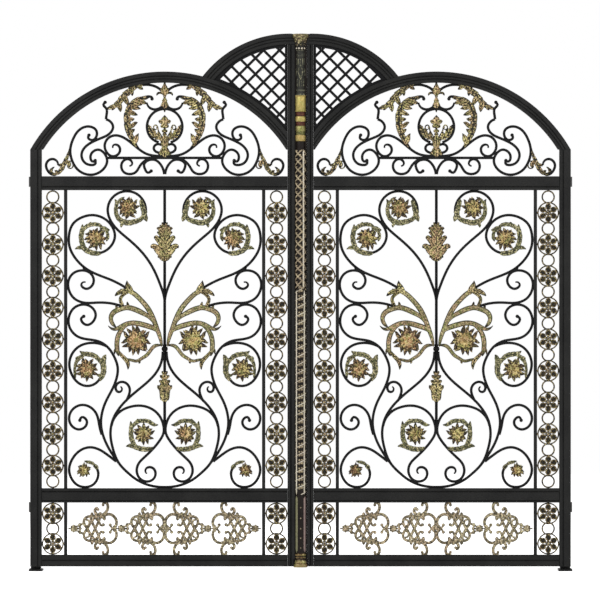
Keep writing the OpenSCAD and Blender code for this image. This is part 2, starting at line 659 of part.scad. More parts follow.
// Moving half: an eye on the pin, welded to the stile's back.
module hinge_eyes() {
    color(steel) at_hinges() difference() {
        union() {
            translate([0, 0, seat]) cylinder(h = knuckle_h, r = barrel_r);
            translate([0, -hinge_gap / 2 + seat / 2, seat]) cube([weld_w, hinge_gap / 2, knuckle_h]);
        }
        translate([0, 0, -1]) cylinder(h = knuckle_h - 1 + seat, r = pin_r + pin_clear);
    }
}
module on_post(side) {
    if (side < 0) children();
    else translate([2 * gate_x, 0, 0]) mirror([1, 0, 0]) children();
}

for (s = [-1, 1]) {
    side = s < 0 ? "left_" : "right_";
    inner = s < 0 ? meeting_in : right_in;
    margin = s < 0 ? seat : meeting_gap;
    foot = s < 0 ? foot_r + seat : foot_r + meeting_gap;
    on_leaf(s) outer_stile();
    on_leaf(s) meeting_stile(inner, foot, margin);
    on_leaf(s) frame_rail(z_bottom, bottom_rail_h, bottom_bands);
    on_leaf(s) frame_rail(z_lower_rail, lower_rail_h, lower_bands);
    on_leaf(s) frame_rail(z_transom, transom_h, transom_bands);
    on_leaf(s) leaf_arch();
    on_leaf(s) crest_arch(inner, margin);
    on_leaf(s) crest_lattice();
    on_leaf(s) mullions();
    on_leaf(s) ring_chains();
    on_leaf(s) tympanum_scrolls();
    on_leaf(s) tympanum_leaves();
    on_leaf(s) panel_scrolls();
    on_leaf(s) panel_leaves();
    on_leaf(s) rosettes();
    on_leaf(s) filigree();
    on_post(s) hinge_eyes();
    on_post(s) post();
    on_post(s) foot_flange();
    on_post(s) hinge_pins();
}
column_capital();
column_relief();
column_collar();
column_sleeve();
column_shaft();
column_foot();
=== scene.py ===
import math
import random

import bmesh
import bpy
import numpy as np
from mathutils import Matrix, Vector


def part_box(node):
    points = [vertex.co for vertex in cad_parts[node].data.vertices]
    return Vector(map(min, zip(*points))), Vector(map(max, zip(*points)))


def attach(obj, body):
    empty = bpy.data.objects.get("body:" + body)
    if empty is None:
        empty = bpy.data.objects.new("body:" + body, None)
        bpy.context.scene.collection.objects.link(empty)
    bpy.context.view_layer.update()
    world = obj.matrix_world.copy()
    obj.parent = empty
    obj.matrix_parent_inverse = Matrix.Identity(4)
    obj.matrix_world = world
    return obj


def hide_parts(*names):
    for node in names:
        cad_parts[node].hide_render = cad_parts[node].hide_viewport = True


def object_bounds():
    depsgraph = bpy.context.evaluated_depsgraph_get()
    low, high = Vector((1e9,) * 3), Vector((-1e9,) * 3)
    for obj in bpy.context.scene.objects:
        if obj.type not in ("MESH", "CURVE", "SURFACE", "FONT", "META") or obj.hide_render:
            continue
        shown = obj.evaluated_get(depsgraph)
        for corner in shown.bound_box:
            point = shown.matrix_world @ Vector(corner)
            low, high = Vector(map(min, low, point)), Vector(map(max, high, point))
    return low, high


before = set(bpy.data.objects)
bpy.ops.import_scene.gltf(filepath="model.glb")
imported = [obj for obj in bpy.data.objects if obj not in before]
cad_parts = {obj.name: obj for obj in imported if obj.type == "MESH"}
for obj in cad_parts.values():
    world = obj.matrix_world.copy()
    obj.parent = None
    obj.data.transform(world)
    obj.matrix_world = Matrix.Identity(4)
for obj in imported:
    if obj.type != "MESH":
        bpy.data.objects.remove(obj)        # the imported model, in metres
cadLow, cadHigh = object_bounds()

# Places that the pieces share, read from the frame.
gateX = (cadLow.x + cadHigh.x) / 2                   # the gate's middle and the column's axis
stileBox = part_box("left_outer_stile")
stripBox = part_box("left_ring_chains")
leafX = (stripBox[0].x + stripBox[1].x) / 2          # the left leaf's middle
middleY = (stileBox[0].y + stileBox[1].y) / 2        # the leaves' middle plane
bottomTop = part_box("left_bottom_rail")[1].z
lowerRail = [corner.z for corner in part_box("left_lower_rail")]
transomRail = [corner.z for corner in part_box("left_transom_rail")]
scrollHalf = 0.584                                   # half the scroll panel's width
gap = 0.0003                                         # between a piece and what carries it

# Grids of about 6 mm that the openwork is drawn on: origin x and z, step across, step up.
grids = dict(
    tympanum=(leafX, transomRail[1] + gap, 0.0060015, 0.005998),
    panel=(leafX, lowerRail[1] + gap, scrollHalf / 97.2, 0.0060),
    casting=(leafX - scrollHalf, (bottomTop + lowerRail[0]) / 2, scrollHalf / 97.2, 0.005996),
)
weld = 2e-6              # vertices closer than this are merged
creaseAngle = 42         # degrees; an edge sharper than this stays sharp

# The forms that the helpers shape.
barForm = dict(square=0.55)                          # 0 is a square section, 1 a round one
leafForm = dict(full=1.1, thin=0.3, offbeat=0.18, lobe=1.5, notch=1.2, tip=0.4, hook=1.7, round=0.8,
                groove=0.2, ribs=1.3)
relief = dict(casting=0.012, core=0.026, column=0.008)  # how high the castings and the column's relief stand


def onGrid(points, grid, wide=0.0):
    across, up = grid[2:]
    rows = np.array([(*p, wide) if len(p) == 2 else p for p in points], float)
    return rows * (across, up, across) + (grid[0], grid[1], 0)


def smoothPath(points, step, perSpan=12):
    # A cubic spline through given points, in even steps; a third column is the half width.
    p = np.array(points, float)
    count = len(p)
    at = np.append(0, np.cumsum(np.linalg.norm(np.diff(p[:, :2], axis=0), axis=1)))
    h = np.diff(at)[:, None]
    slope = np.diff(p, axis=0) / h
    matrix, target = np.eye(count), np.zeros_like(p)
    for i in range(1, count - 1):
        matrix[i, i - 1:i + 2] = h[i - 1, 0], 2 * (h[i - 1, 0] + h[i, 0]), h[i, 0]
        target[i] = 6 * (slope[i] - slope[i - 1])
    if count > 2:
        matrix[0, 1] = matrix[-1, -2] = -1
    bend = np.linalg.solve(matrix, target)
    t = np.linspace(0, 1, perSpan, endpoint=False)[:, None]
    rows = [
        p[i] + t * (p[i + 1] - p[i])
        - h[i]**2 / 6 * ((2 * t - 3 * t**2 + t**3) * bend[i] + (t - t**3) * bend[i + 1])
        for i in range(count - 1)
    ]
    dense = np.vstack(rows + [p[-1:]])
    if p.shape[1] > 2:
        dense[:, 2] = np.maximum(dense[:, 2], p[:, 2].min())
    gone = np.append(0, np.cumsum(np.linalg.norm(np.diff(dense[:, :2], axis=0), axis=1)))
    at = np.linspace(0, gone[-1], max(3, round(gone[-1] / step)) + 1)
    return np.column_stack([np.interp(at, gone, column) for column in dense.T])


def sideways(path):
    way = np.gradient(path[:, :2], axis=0)
    way /= np.linalg.norm(way, axis=1)[:, None] + 1e-12
    return way, np.column_stack([-way[:, 1], way[:, 0]])


def pour(bm, small, tone=None):
    # Adds a small bmesh to a big one, in one finish: an operator is slow on a big one.
    if tone is not None:
        for face in small.faces:
            face.material_index = tone
    mesh = bpy.data.meshes.new("small")
    small.to_mesh(mesh)
    small.free()
    bm.from_mesh(mesh)
    bpy.data.meshes.remove(mesh)


def loft(bm, steps, sides, place, tone=0):
    # A grid rolled into a closed skin: place(along, around) gives each point, both from 0 to 1.
    small = bmesh.new()
    bmesh.ops.create_grid(small, x_segments=sides, y_segments=steps, size=0.5)
    flat = np.array([v.co[:2] for v in small.verts]) + 0.5
    for v, co in zip(small.verts, place(flat[:, 1], flat[:, 0]).tolist()):
        v.co = co
    bmesh.ops.remove_doubles(small, verts=small.verts, dist=weld)
    pour(bm, small, tone)


def addBar(bm, path, wide, deep, step=0.008, tips=(1.0, 1.0), reach=0.05, y=middleY, sides=12):
    # A forged bar with softly hammered corners, narrowed to a share of its size at each end.
    path = smoothPath(path, step)
    gone = np.linspace(0, 1, len(path)) * step * (len(path) - 1)
    size = np.minimum(
        tips[0] + (1 - tips[0]) * np.clip(gone / reach, 0, 1),
        tips[1] + (1 - tips[1]) * np.clip((gone[-1] - gone) / reach, 0, 1),
    )
    path = np.vstack([path[:1], path, path[-1:]])
    size = np.concatenate([[0], size, [0]])
    beside = sideways(path[1:-1])[1]
    beside = np.vstack([beside[:1], beside, beside[-1:]])

    def place(along, around):
        row = np.rint(along * (len(path) - 1)).astype(int)
        turn = 2 * math.pi * around + math.pi / sides
        c, s = np.cos(turn), np.sin(turn)
        u = np.sign(c) * np.abs(c) ** barForm["square"] * wide / 2 * size[row]
        v = np.sign(s) * np.abs(s) ** barForm["square"] * deep / 2 * size[row]
        spot = path[row, :2] + beside[row] * u[:, None]
        return np.column_stack([spot[:, 0], y + v, spot[:, 1]])

    loft(bm, len(path) - 1, sides, place)


def addLeaf(bm, path, thick, step=0.003, sides=16, lobes=0, cut=0.3, sweep=0.8, groove=0.4, rib=0.45,
            lift=(0.0, 0.0), tone=0):
    # A cast leaf: its half width is the path's third column, with lobes, side ribs and a midrib groove.
    form = leafForm
    path = smoothPath(path, step)
    count = len(path) - 1
    way, beside = sideways(path)
    wide = np.abs(path[:, 2])
    wide[0] = wide[-1] = 0
    share = np.linspace(0, 1, count + 1)
    rise = lift[0] + (lift[1] - lift[0]) * share
    body = np.minimum(thick, np.maximum(wide * form["full"], thick * form["thin"])) * np.where(wide > 0, 1, 0)

    def place(along, around):
        row = np.rint(along * count).astype(int)
        turn = 2 * math.pi * around
        u, side = np.cos(turn), np.sin(turn)
        out = np.abs(u)
        beat = (lobes * share[row] + form["offbeat"] * np.sign(u)) % 1.0 if lobes else 1.0
        across = u * wide[row] * (1 + cut * (form["lobe"] * beat - form["notch"]) * out)
        ahead = np.minimum(sweep * wide[row], form["tip"] * step * (count - row)) * out ** form["hook"]
        height = np.abs(side) ** form["round"] * (1 - groove * np.exp(-((u / form["groove"]) ** 2)))
        height = height * (1 - rib * (1 - beat) * np.sin(math.pi * np.minimum(out * form["ribs"], 1)))
        depth = -np.sign(side) * height * body[row]
        forward = way[row] * ahead[:, None] * (wide[row] > 0)[:, None]
        spot = path[row, :2] + beside[row] * across[:, None] + forward
        return np.column_stack([spot[:, 0], middleY + depth - rise[row], spot[:, 1]])

    loft(bm, count, sides, place, tone)


def addBall(bm, x, z, radius, deep=None, y=middleY, sides=12, tone=0):
    turn = Matrix.Translation((x, y, z)) @ Matrix.Rotation(math.pi / 2, 4, "X")
    size = Matrix.Diagonal((radius, radius, deep or radius, 1))
    small = bmesh.new()
    bmesh.ops.create_uvsphere(small, u_segments=sides, v_segments=sides * 2 // 3, radius=1,
                              matrix=turn @ size)
    pour(bm, small, tone)


def addRing(bm, x, z, radius, wide, deep, steps=40, sides=10):
    # A ring in the gate's plane: radius to the middle of its section.
    small = bmesh.new()
    spot = Matrix.Translation((x + radius, middleY, z)) @ Matrix.Diagonal((wide / 2, deep / 2, 1, 1))
    bmesh.ops.create_circle(small, cap_ends=False, segments=sides, radius=1, matrix=spot)
    bmesh.ops.spin(small, geom=small.verts[:] + small.edges[:], cent=(x, middleY, z), axis=(0, 1, 0),
                   dvec=(0, 0, 0), angle=2 * math.pi, steps=steps, use_merge=True, use_duplicate=False)
    pour(bm, small)


def addTurned(bm, profile, steps=48, tone=0):
    # A turned piece about the column's axis, from (radius, height) points; both ends lie on the axis.
    small = bmesh.new()
    verts = [small.verts.new((gateX + r, middleY, z)) for r, z in profile]
    edges = [small.edges.new(pair) for pair in zip(verts, verts[1:])]
    bmesh.ops.spin(small, geom=verts + edges, cent=(gateX, middleY, 0), axis=(0, 0, 1), dvec=(0, 0, 0),
                   angle=2 * math.pi, steps=steps, use_merge=True, use_duplicate=False)
    bmesh.ops.remove_doubles(small, verts=small.verts, dist=weld)
    pour(bm, small, tone)


def addAround(bm, line, wide, thick, sides=6, tone=0):
    # A strap on the column: line(along) gives angle (0 is the front), height and radius.
    steps, track = line
    angle, height, radius = track(np.linspace(0, 1, steps + 1))
    level = np.gradient(height)
    turn = np.gradient(angle) * radius
    size = np.hypot(level, turn)
    up, across = level / size, turn / size
    ends = np.ones(steps + 1)
    ends[0] = ends[-1] = 0

    def place(along, around):
        row = np.rint(along * steps).astype(int)
        a = 2 * math.pi * around + math.pi / sides
        u = np.cos(a) * wide / 2 * ends[row]
        r = radius[row] + np.sin(a) * thick / 2 * ends[row]
        phi = angle[row] - u * up[row] / radius[row]
        z = height[row] + u * across[row]
        return np.column_stack([gateX + r * np.sin(phi), middleY - r * np.cos(phi), z])

    loft(bm, steps, sides, place, tone)


def mirrorAt(x):
    return Matrix.Translation((2 * x, 0, 0)) @ Matrix.Scale(-1, 4, (1, 0, 0))


def stamp(bm, small, *places):
    # Adds a copy of a small bmesh at each matrix, and frees the small one.
    shape = bpy.data.meshes.new("shape")
    small.to_mesh(shape)
    small.free()
    for matrix in places:
        copy = shape.copy()
        copy.transform(matrix)
        bm.from_mesh(copy)
        bpy.data.meshes.remove(copy)
    bpy.data.meshes.remove(shape)


def foldOver(bm, matrix=mirrorAt(leafX)):
    # Adds the mirror image of everything so far, by default about the leaf's own middle.
    stamp(bm, bm.copy(), matrix)


def markRidges(mesh, onColumn):
    # How far each point stands out from its neighbours, and how high it stands, for the rubbed gilding and
    # the painted shade in the hollows, kept as attributes.
    count = len(mesh.vertices)
    co, normal = np.empty(count * 3), np.empty(count * 3)
    mesh.vertices.foreach_get("co", co)
    mesh.vertex_normals.foreach_get("vector", normal)
    co, normal = co.reshape(-1, 3), normal.reshape(-1, 3)
    pairs = np.empty(len(mesh.edges) * 2, int)
    mesh.edges.foreach_get("vertices", pairs)
    a, b = pairs.reshape(-1, 2).T
    way = co[a] - co[b]
    way /= np.linalg.norm(way, axis=1)[:, None] + 1e-12
    stand, seen = np.zeros(count), np.zeros(count)
    np.add.at(stand, a, (normal[a] * way).sum(1))
    np.add.at(stand, b, -(normal[b] * way).sum(1))
    np.add.at(seen, np.concatenate([a, b]), 1)
    ridge = stand / np.maximum(seen, 1)
    if onColumn:
        high = (np.hypot(co[:, 0] - gateX, co[:, 1] - middleY) - relief["core"]) / relief["column"]
    else:
        high = np.abs(co[:, 1] - middleY) / relief["casting"]
    for name, values in (("ridge", ridge), ("raised", np.clip(high, 0, 1.5))):
        mesh.attributes.new(name, "FLOAT", "POINT").data.foreach_set("value", values.astype(np.float32))


def makePiece(bm, name, body, tones, replaced, onColumn=False):
    bmesh.ops.recalc_face_normals(bm, faces=bm.faces)
    for face in bm.faces:
        face.smooth = True
    for e in bm.edges:
        if len(e.link_faces) == 2 and e.calc_face_angle() > math.radians(creaseAngle):
            e.smooth = False
    mesh = bpy.data.meshes.new(name)
    bm.to_mesh(mesh)
    bm.free()
    markRidges(mesh, onColumn)
    for tone in tones:
        mesh.materials.append(finishes[tone])
    return showPiece(mesh, name, body, replaced)


def showPiece(mesh, name, body, replaced):
    piece = bpy.data.objects.new(name, mesh)
    bpy.context.collection.objects.link(piece)
    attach(piece, body)
    if replaced:
        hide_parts(*replaced)
    print(name, len(mesh.polygons), "faces")
    return piece


def makePair(bm, name, slot, *tones):
    # A piece on the left leaf and its mirror image on the right leaf, for the nodes of the same names.
    left = makePiece(bm, "left_" + name, "left_leaf", tones, ["left_" + name])
    mesh = left.data.copy()
    mesh.transform(mirrorAt(gateX))
    mesh.flip_normals()
    showPiece(mesh, "right_" + name, "right_leaf", ["right_" + name])


# Colours are given as they look on screen, 0 to 255.
# The cream is a painted glint on the gilding; the mosses and the bare iron are the metal's own colours.
patinaAndGlintTones = dict(mossOnGold=(132, 140, 70), mossBelow=(54, 60, 27), glintCream=(226, 212, 168),
                   bareIron=(74, 72, 68))


def paint(colour):
    # A screen colour made linear.
    return tuple(((c / 255 + 0.055) / 1.055) ** 2.4 if c > 10 else c / 255 / 12.92 for c in colour) + (1,)


def makeGroup(name, inputs, outputs):
    tree = bpy.data.node_groups.new(name, "ShaderNodeTree")
    for label, value in inputs.items():
        kind = "NodeSocketVector" if value is None else "NodeSocketFloat"
        socket = tree.interface.new_socket(label, in_out="INPUT", socket_type=kind)
        if value is not None:
            socket.default_value = value
    for label in outputs:
        tree.interface.new_socket(label, in_out="OUTPUT", socket_type="NodeSocketFloat")
    return tree, tree.nodes.new("NodeGroupInput").outputs, tree.nodes.new("NodeGroupOutput").inputs


def fillSocket(tree, socket, value):
    if isinstance(value, bpy.types.NodeSocket):
        tree.links.new(value, socket)
    else:
        socket.default_value = value


def addNode(tree, kind, settings=None, **inputs):
    # A shader node; an input is named, or numbered as in i0.
    node = tree.nodes.new("ShaderNode" + kind)
    for key, value in (settings or {}).items():
        setattr(node, key, value)
    for key, value in inputs.items():
        fillSocket(tree, node.inputs[int(key[1:]) if key[0] == "i" and key[1:].isdigit() else key], value)
    return node


def addGroup(tree, group, **inputs):
    # A shared node group; an underscore in an input's name stands for its blank.
    node = tree.nodes.new("ShaderNodeGroup")
    node.node_tree = group
    for key, value in inputs.items():
        fillSocket(tree, node.inputs[key.replace("_", " ")], value)
    return node.outputs


def sums(tree, operation, a, b, c=None):
    extra = {} if c is None else dict(i2=c)
    return addNode(tree, "Math", dict(operation=operation), i0=a, i1=b, **extra).outputs[0]


def ramp(tree, value, low, high, start=0.0, end=1.0):
    node = addNode(tree, "MapRange", dict(interpolation_type="SMOOTHSTEP"), i0=value, i1=low, i2=high,
                   i3=start, i4=end)
    return node.outputs[0]


def blendColours(tree, share, a, b):
    return addNode(tree, "Mix", dict(data_type="RGBA"), i0=share, i6=a, i7=b).outputs[2]


def mottleGroup():
    # Broad patches and fine speckle, each from 0 to 1.
    tree, given, made = makeGroup("Patina mottling",
                                  {"Vector": None, "Patch scale": 9.0, "Speckle scale": 220.0},
                                  ["Patches", "Speckle"])
    for name, scale, detail, rough, low in (("Patches", "Patch scale", 4.0, 0.55, 0.36),
                                            ("Speckle", "Speckle scale", 3.0, 0.6, 0.34)):
        noise = addNode(tree, "TexNoise", Vector=given["Vector"], Scale=given[scale], Detail=detail,
                        Roughness=rough)
        tree.links.new(ramp(tree, noise.outputs[0], low, 1 - low), made[name])
    return tree


def wearAndShadeGroup():
    # Where gilding or bare metal shows: high on the shape, on its ridges, broken up by speckle. The same
    # mask, set lower, marks the low parts and thin edges that get painted shade.
    tree, given, made = makeGroup("Worn ridges and painted shade", {"Ridge": 0.0, "Raised": 0.0, "Speckle": 0.5, "Start": 0.0,
                                                  "Full": 0.3, "Breakup": 0.3}, ["Mask"])
    value = sums(tree, "MULTIPLY_ADD", given["Raised"], 0.6, -0.3)
    value = sums(tree, "ADD", value, sums(tree, "MULTIPLY", given["Ridge"], 0.4))
    grain = sums(tree, "MULTIPLY", sums(tree, "SUBTRACT", given["Speckle"], 0.5), given["Breakup"])
    value = sums(tree, "ADD", value, grain)
    tree.links.new(ramp(tree, value, given["Start"], given["Full"]), made["Mask"])
    return tree


def hammerGroup():
    # Small overlapping dents and a fine grain, as a height.
    tree, given, made = makeGroup("Hammered face", {"Vector": None, "Dent scale": 110.0, "Grain scale": 700.0,
                                                    "Grain": 0.25}, ["Height", "Dents"])
    warp = addNode(tree, "TexNoise", Vector=given["Vector"], Scale=60.0, Detail=1.0)
    moved = addNode(tree, "VectorMath", dict(operation="MULTIPLY_ADD"), i0=warp.outputs["Color"],
                    i1=(0.006, 0.006, 0.006), i2=given["Vector"])
    dents = addNode(tree, "TexVoronoi", dict(feature="SMOOTH_F1"), Vector=moved.outputs[0],
                    Scale=given["Dent scale"], Smoothness=0.6).outputs["Distance"]
    grain = addNode(tree, "TexNoise", Vector=given["Vector"], Scale=given["Grain scale"], Detail=2.0)
    fine = sums(tree, "MULTIPLY", grain.outputs[0], given["Grain"])
    tree.links.new(sums(tree, "ADD", dents, fine), made["Height"])
    tree.links.new(dents, made["Dents"])
    return tree


patina, wearAndShade, hammered = mottleGroup(), wearAndShadeGroup(), hammerGroup()


def newFinish(name):
    material = bpy.data.materials.new(name)
    material.use_nodes = True
    tree = material.node_tree
    shader = tree.nodes["Principled BSDF"].inputs
    where = tree.nodes.new("ShaderNodeTexCoord").outputs["Object"]
    return material, tree, shader, where


def wearAndShadeMask(tree, speckle, start, full, breakup):
    ridge, raised = [addNode(tree, "Attribute", dict(attribute_name=name)).outputs["Fac"]
                     for name in ("ridge", "raised")]
    return addGroup(tree, wearAndShade, Ridge=ridge, Raised=raised, Speckle=speckle, Start=start, Full=full,
                    Breakup=breakup)["Mask"]


def ironFinish(name, dark, light, dents, dentScale, rough, gloss, edge=0.0):
    # Painted iron: near black, mottled, with hammer marks that catch the light. The dents also lighten the
    # colour towards the light paint as a painted highlight.
    material, tree, shader, where = newFinish(name)
    marks = addGroup(tree, hammered, Vector=where, Dent_scale=dentScale)
    mottle = addGroup(tree, patina, Vector=where, Patch_scale=6.0, Speckle_scale=160.0)
    # Painted highlight: the colour lightens away from each dent's middle.
    dentHighlight = ramp(tree, marks["Dents"], 0.15, 0.6, end=0.4)
    share = sums(tree, "MULTIPLY_ADD", mottle["Patches"], 0.45, dentHighlight)
    colour = blendColours(tree, share, paint(dark), paint(light))
    if edge:
        wear = wearAndShadeMask(tree, mottle["Speckle"], start=0.16, full=0.5, breakup=0.4)
        wear = sums(tree, "MULTIPLY", wear, edge)
        colour = blendColours(tree, wear, colour, paint(patinaAndGlintTones["bareIron"]))
    fillSocket(tree, shader["Base Color"], colour)
    sheen = ramp(tree, mottle["Speckle"], 0, 1, start=rough - 0.08, end=rough + 0.1)
    fillSocket(tree, shader["Roughness"], sheen)
    fillSocket(tree, shader["Specular IOR Level"], gloss)
    bump = addNode(tree, "Bump", Height=marks["Height"], Strength=dents, Distance=0.0015)
    fillSocket(tree, shader["Normal"], bump.outputs[0])
    return material


def castFinish(name, hollowPatinaAndShade, body, gilt, tint, wear, metal=0.4, rough=0.5, moss=0.6, paintedGlint=0.55, flecks=0.42):
    # Cast ornament: dark patina and painted shade in the hollows and on thin edges, rubbed antique gold on
    # the ridges, flecked pink and green, and cream flecks on the gold that are painted glints.
    material, tree, shader, where = newFinish(name)
    mottle = addGroup(tree, patina, Vector=where, Patch_scale=16.0, Speckle_scale=105.0)
    tone = addGroup(tree, patina, Vector=where, Patch_scale=5.0, Speckle_scale=45.0)
    rubbed = wearAndShadeMask(tree, mottle["Speckle"], *wear, flecks)
    # Painted shade: the low parts and thin edges drop to the dark hollow colour.
    under = wearAndShadeMask(tree, mottle["Speckle"], wear[0] - 0.2, wear[0] + 0.06, flecks)
    green = ramp(tree, tone["Speckle"], 0.5, 0.85, end=moss)
    gold = blendColours(tree, sums(tree, "MULTIPLY", tone["Patches"], 0.75), paint(gilt), paint(tint))
    gold = blendColours(tree, green, gold, paint(patinaAndGlintTones["mossOnGold"]))
    # Painted glints: cream flecks on the gold.
    glintMask = ramp(tree, mottle["Speckle"], 0.72, 1.0, end=paintedGlint)
    gold = blendColours(tree, glintMask, gold, paint(patinaAndGlintTones["glintCream"]))
    base = blendColours(tree, green, paint(body), paint(patinaAndGlintTones["mossBelow"]))
    share = sums(tree, "MULTIPLY", rubbed, ramp(tree, mottle["Patches"], 0, 1, start=0.65))
    colour = blendColours(tree, share, blendColours(tree, under, paint(hollowPatinaAndShade), base), gold)
    fillSocket(tree, shader["Base Color"], colour)
    fillSocket(tree, shader["Metallic"], sums(tree, "MULTIPLY", share, metal))
    fillSocket(tree, shader["Roughness"], ramp(tree, share, 0, 1, start=rough + 0.15, end=rough))
    fillSocket(tree, shader["Specular IOR Level"], 0.25)
    marks = addGroup(tree, hammered, Vector=where, Dent_scale=320.0, Grain_scale=900.0, Grain=0.5)
    bump = addNode(tree, "Bump", Height=marks["Height"], Strength=0.35, Distance=0.0008)
    fillSocket(tree, shader["Normal"], bump.outputs[0])
    return material


# Each iron has a dark and a light paint; the light one also paints the highlights on the hammer dents. Each
# casting has its hollow colour, which is dark patina and painted shade, its body, gilding and tint, and where
# on its relief the gilding starts and is full.
finishes = dict(
    frameIron=ironFinish("Painted frame iron", (15, 15, 15), (33, 33, 32), dents=0.6, dentScale=130.0,
        rough=0.5, gloss=0.14),
    scrollIron=ironFinish("Forged scroll iron", (7, 7, 8), (18, 18, 19), dents=0.3, dentScale=90.0, rough=0.5,
        gloss=0.1, edge=0.25),
    hingeSteel=ironFinish("Hinge steel", (38, 38, 38), (62, 61, 58), dents=0.15, dentScale=240.0, rough=0.38,
        gloss=0.4),
    columnDark=ironFinish("Column core", (15, 11, 10), (30, 24, 20), dents=0.3, dentScale=120.0,
        rough=0.5, gloss=0.12),
    giltCasting=castFinish("Gilt casting", (15, 13, 9), (62, 52, 31), (190, 176, 120), (184, 144, 116),
        wear=(0.09, 0.36), metal=0.5, rough=0.45, flecks=0.5),
    flowerCasting=castFinish("Flower casting", (22, 15, 10), (66, 49, 32), (184, 168, 104), (168, 118, 88),
        wear=(0.19, 0.5), paintedGlint=0.6, flecks=0.46),
    stemCasting=castFinish("Stem casting", (20, 18, 12), (70, 62, 40), (178, 168, 124), (184, 144, 116),
        wear=(0.1, 0.34), rough=0.45, moss=0.75, paintedGlint=0.3, flecks=0.18),
    wreathCasting=castFinish("Wreath casting", (30, 30, 19), (82, 80, 54), (150, 148, 112), (140, 126, 98),
        wear=(0.0, 0.3)),
    capitalGold=castFinish("Capital casting", (20, 17, 13), (50, 43, 32), (112, 100, 70), (108, 86, 70),
        wear=(0.3, 0.66), moss=0.3, flecks=0.6),
    footCasting=castFinish("Foot casting", (36, 25, 14), (88, 68, 40), (152, 132, 88), (158, 108, 76),
        wear=(0.16, 0.5)),
    ringCasting=castFinish("Ring casting", (22, 19, 14), (56, 49, 33), (150, 132, 90), (136, 106, 78),
        wear=(0.09, 0.38), moss=0.25, paintedGlint=0.4),
    reliefCasting=castFinish("Relief casting", (36, 36, 31), (84, 84, 70), (128, 128, 106), (112, 108, 90),
        wear=(0.02, 0.36), metal=0.3, moss=0.2, paintedGlint=0.15),
    filigreeCasting=castFinish("Filigree casting", (52, 46, 37), (108, 98, 76), (186, 174, 144),
        (180, 148, 128), wear=(0.0, 0.28), metal=0.3, moss=0.3, paintedGlint=0.4),
    netCasting=castFinish("Net sleeve casting", (26, 21, 16), (78, 68, 52), (148, 136, 110), (138, 122, 104),
        wear=(0.12, 0.36), metal=0.3, moss=0.0, paintedGlint=0.5, flecks=0.5),
    # A pale cream finish that paints the highlight which the net's ribs, fine spirals and the capital's lower
    # beads catch.
    netRibHighlight=castFinish("Net rib casting with painted highlight", (90, 82, 68), (150, 142, 122), (208, 202, 184), (196, 184, 170),
        wear=(0.0, 0.24), metal=0.2, moss=0.0),
    shaftOlive=castFinish("Shaft olive", (50, 50, 34), (92, 92, 66), (128, 128, 96), (120, 116, 92),
        wear=(0.0, 0.3), metal=0.3, moss=0.0, paintedGlint=0.1),
    shaftRose=castFinish("Shaft rose", (56, 46, 42), (100, 86, 80), (142, 126, 120), (136, 114, 110),
        wear=(0.0, 0.3), metal=0.3, moss=0.0, paintedGlint=0.1),
    collarGold=castFinish("Collar gold", (84, 72, 34), (134, 118, 60), (170, 154, 88), (168, 138, 90),
        wear=(-0.3, 0.2), metal=0.45, rough=0.45, moss=0.4, paintedGlint=0.25),
    collarOlive=castFinish("Collar olive", (60, 58, 30), (96, 94, 50), (140, 140, 80), (120, 110, 70),
        wear=(-0.2, 0.2), metal=0.6, rough=0.4, paintedGlint=0.2),
    collarRed=castFinish("Collar groove", (58, 26, 18), (80, 44, 28), (104, 70, 46), (96, 52, 40),
        wear=(0.0, 0.4), rough=0.45, moss=0.0, paintedGlint=0.0),
)
print("finishes made")

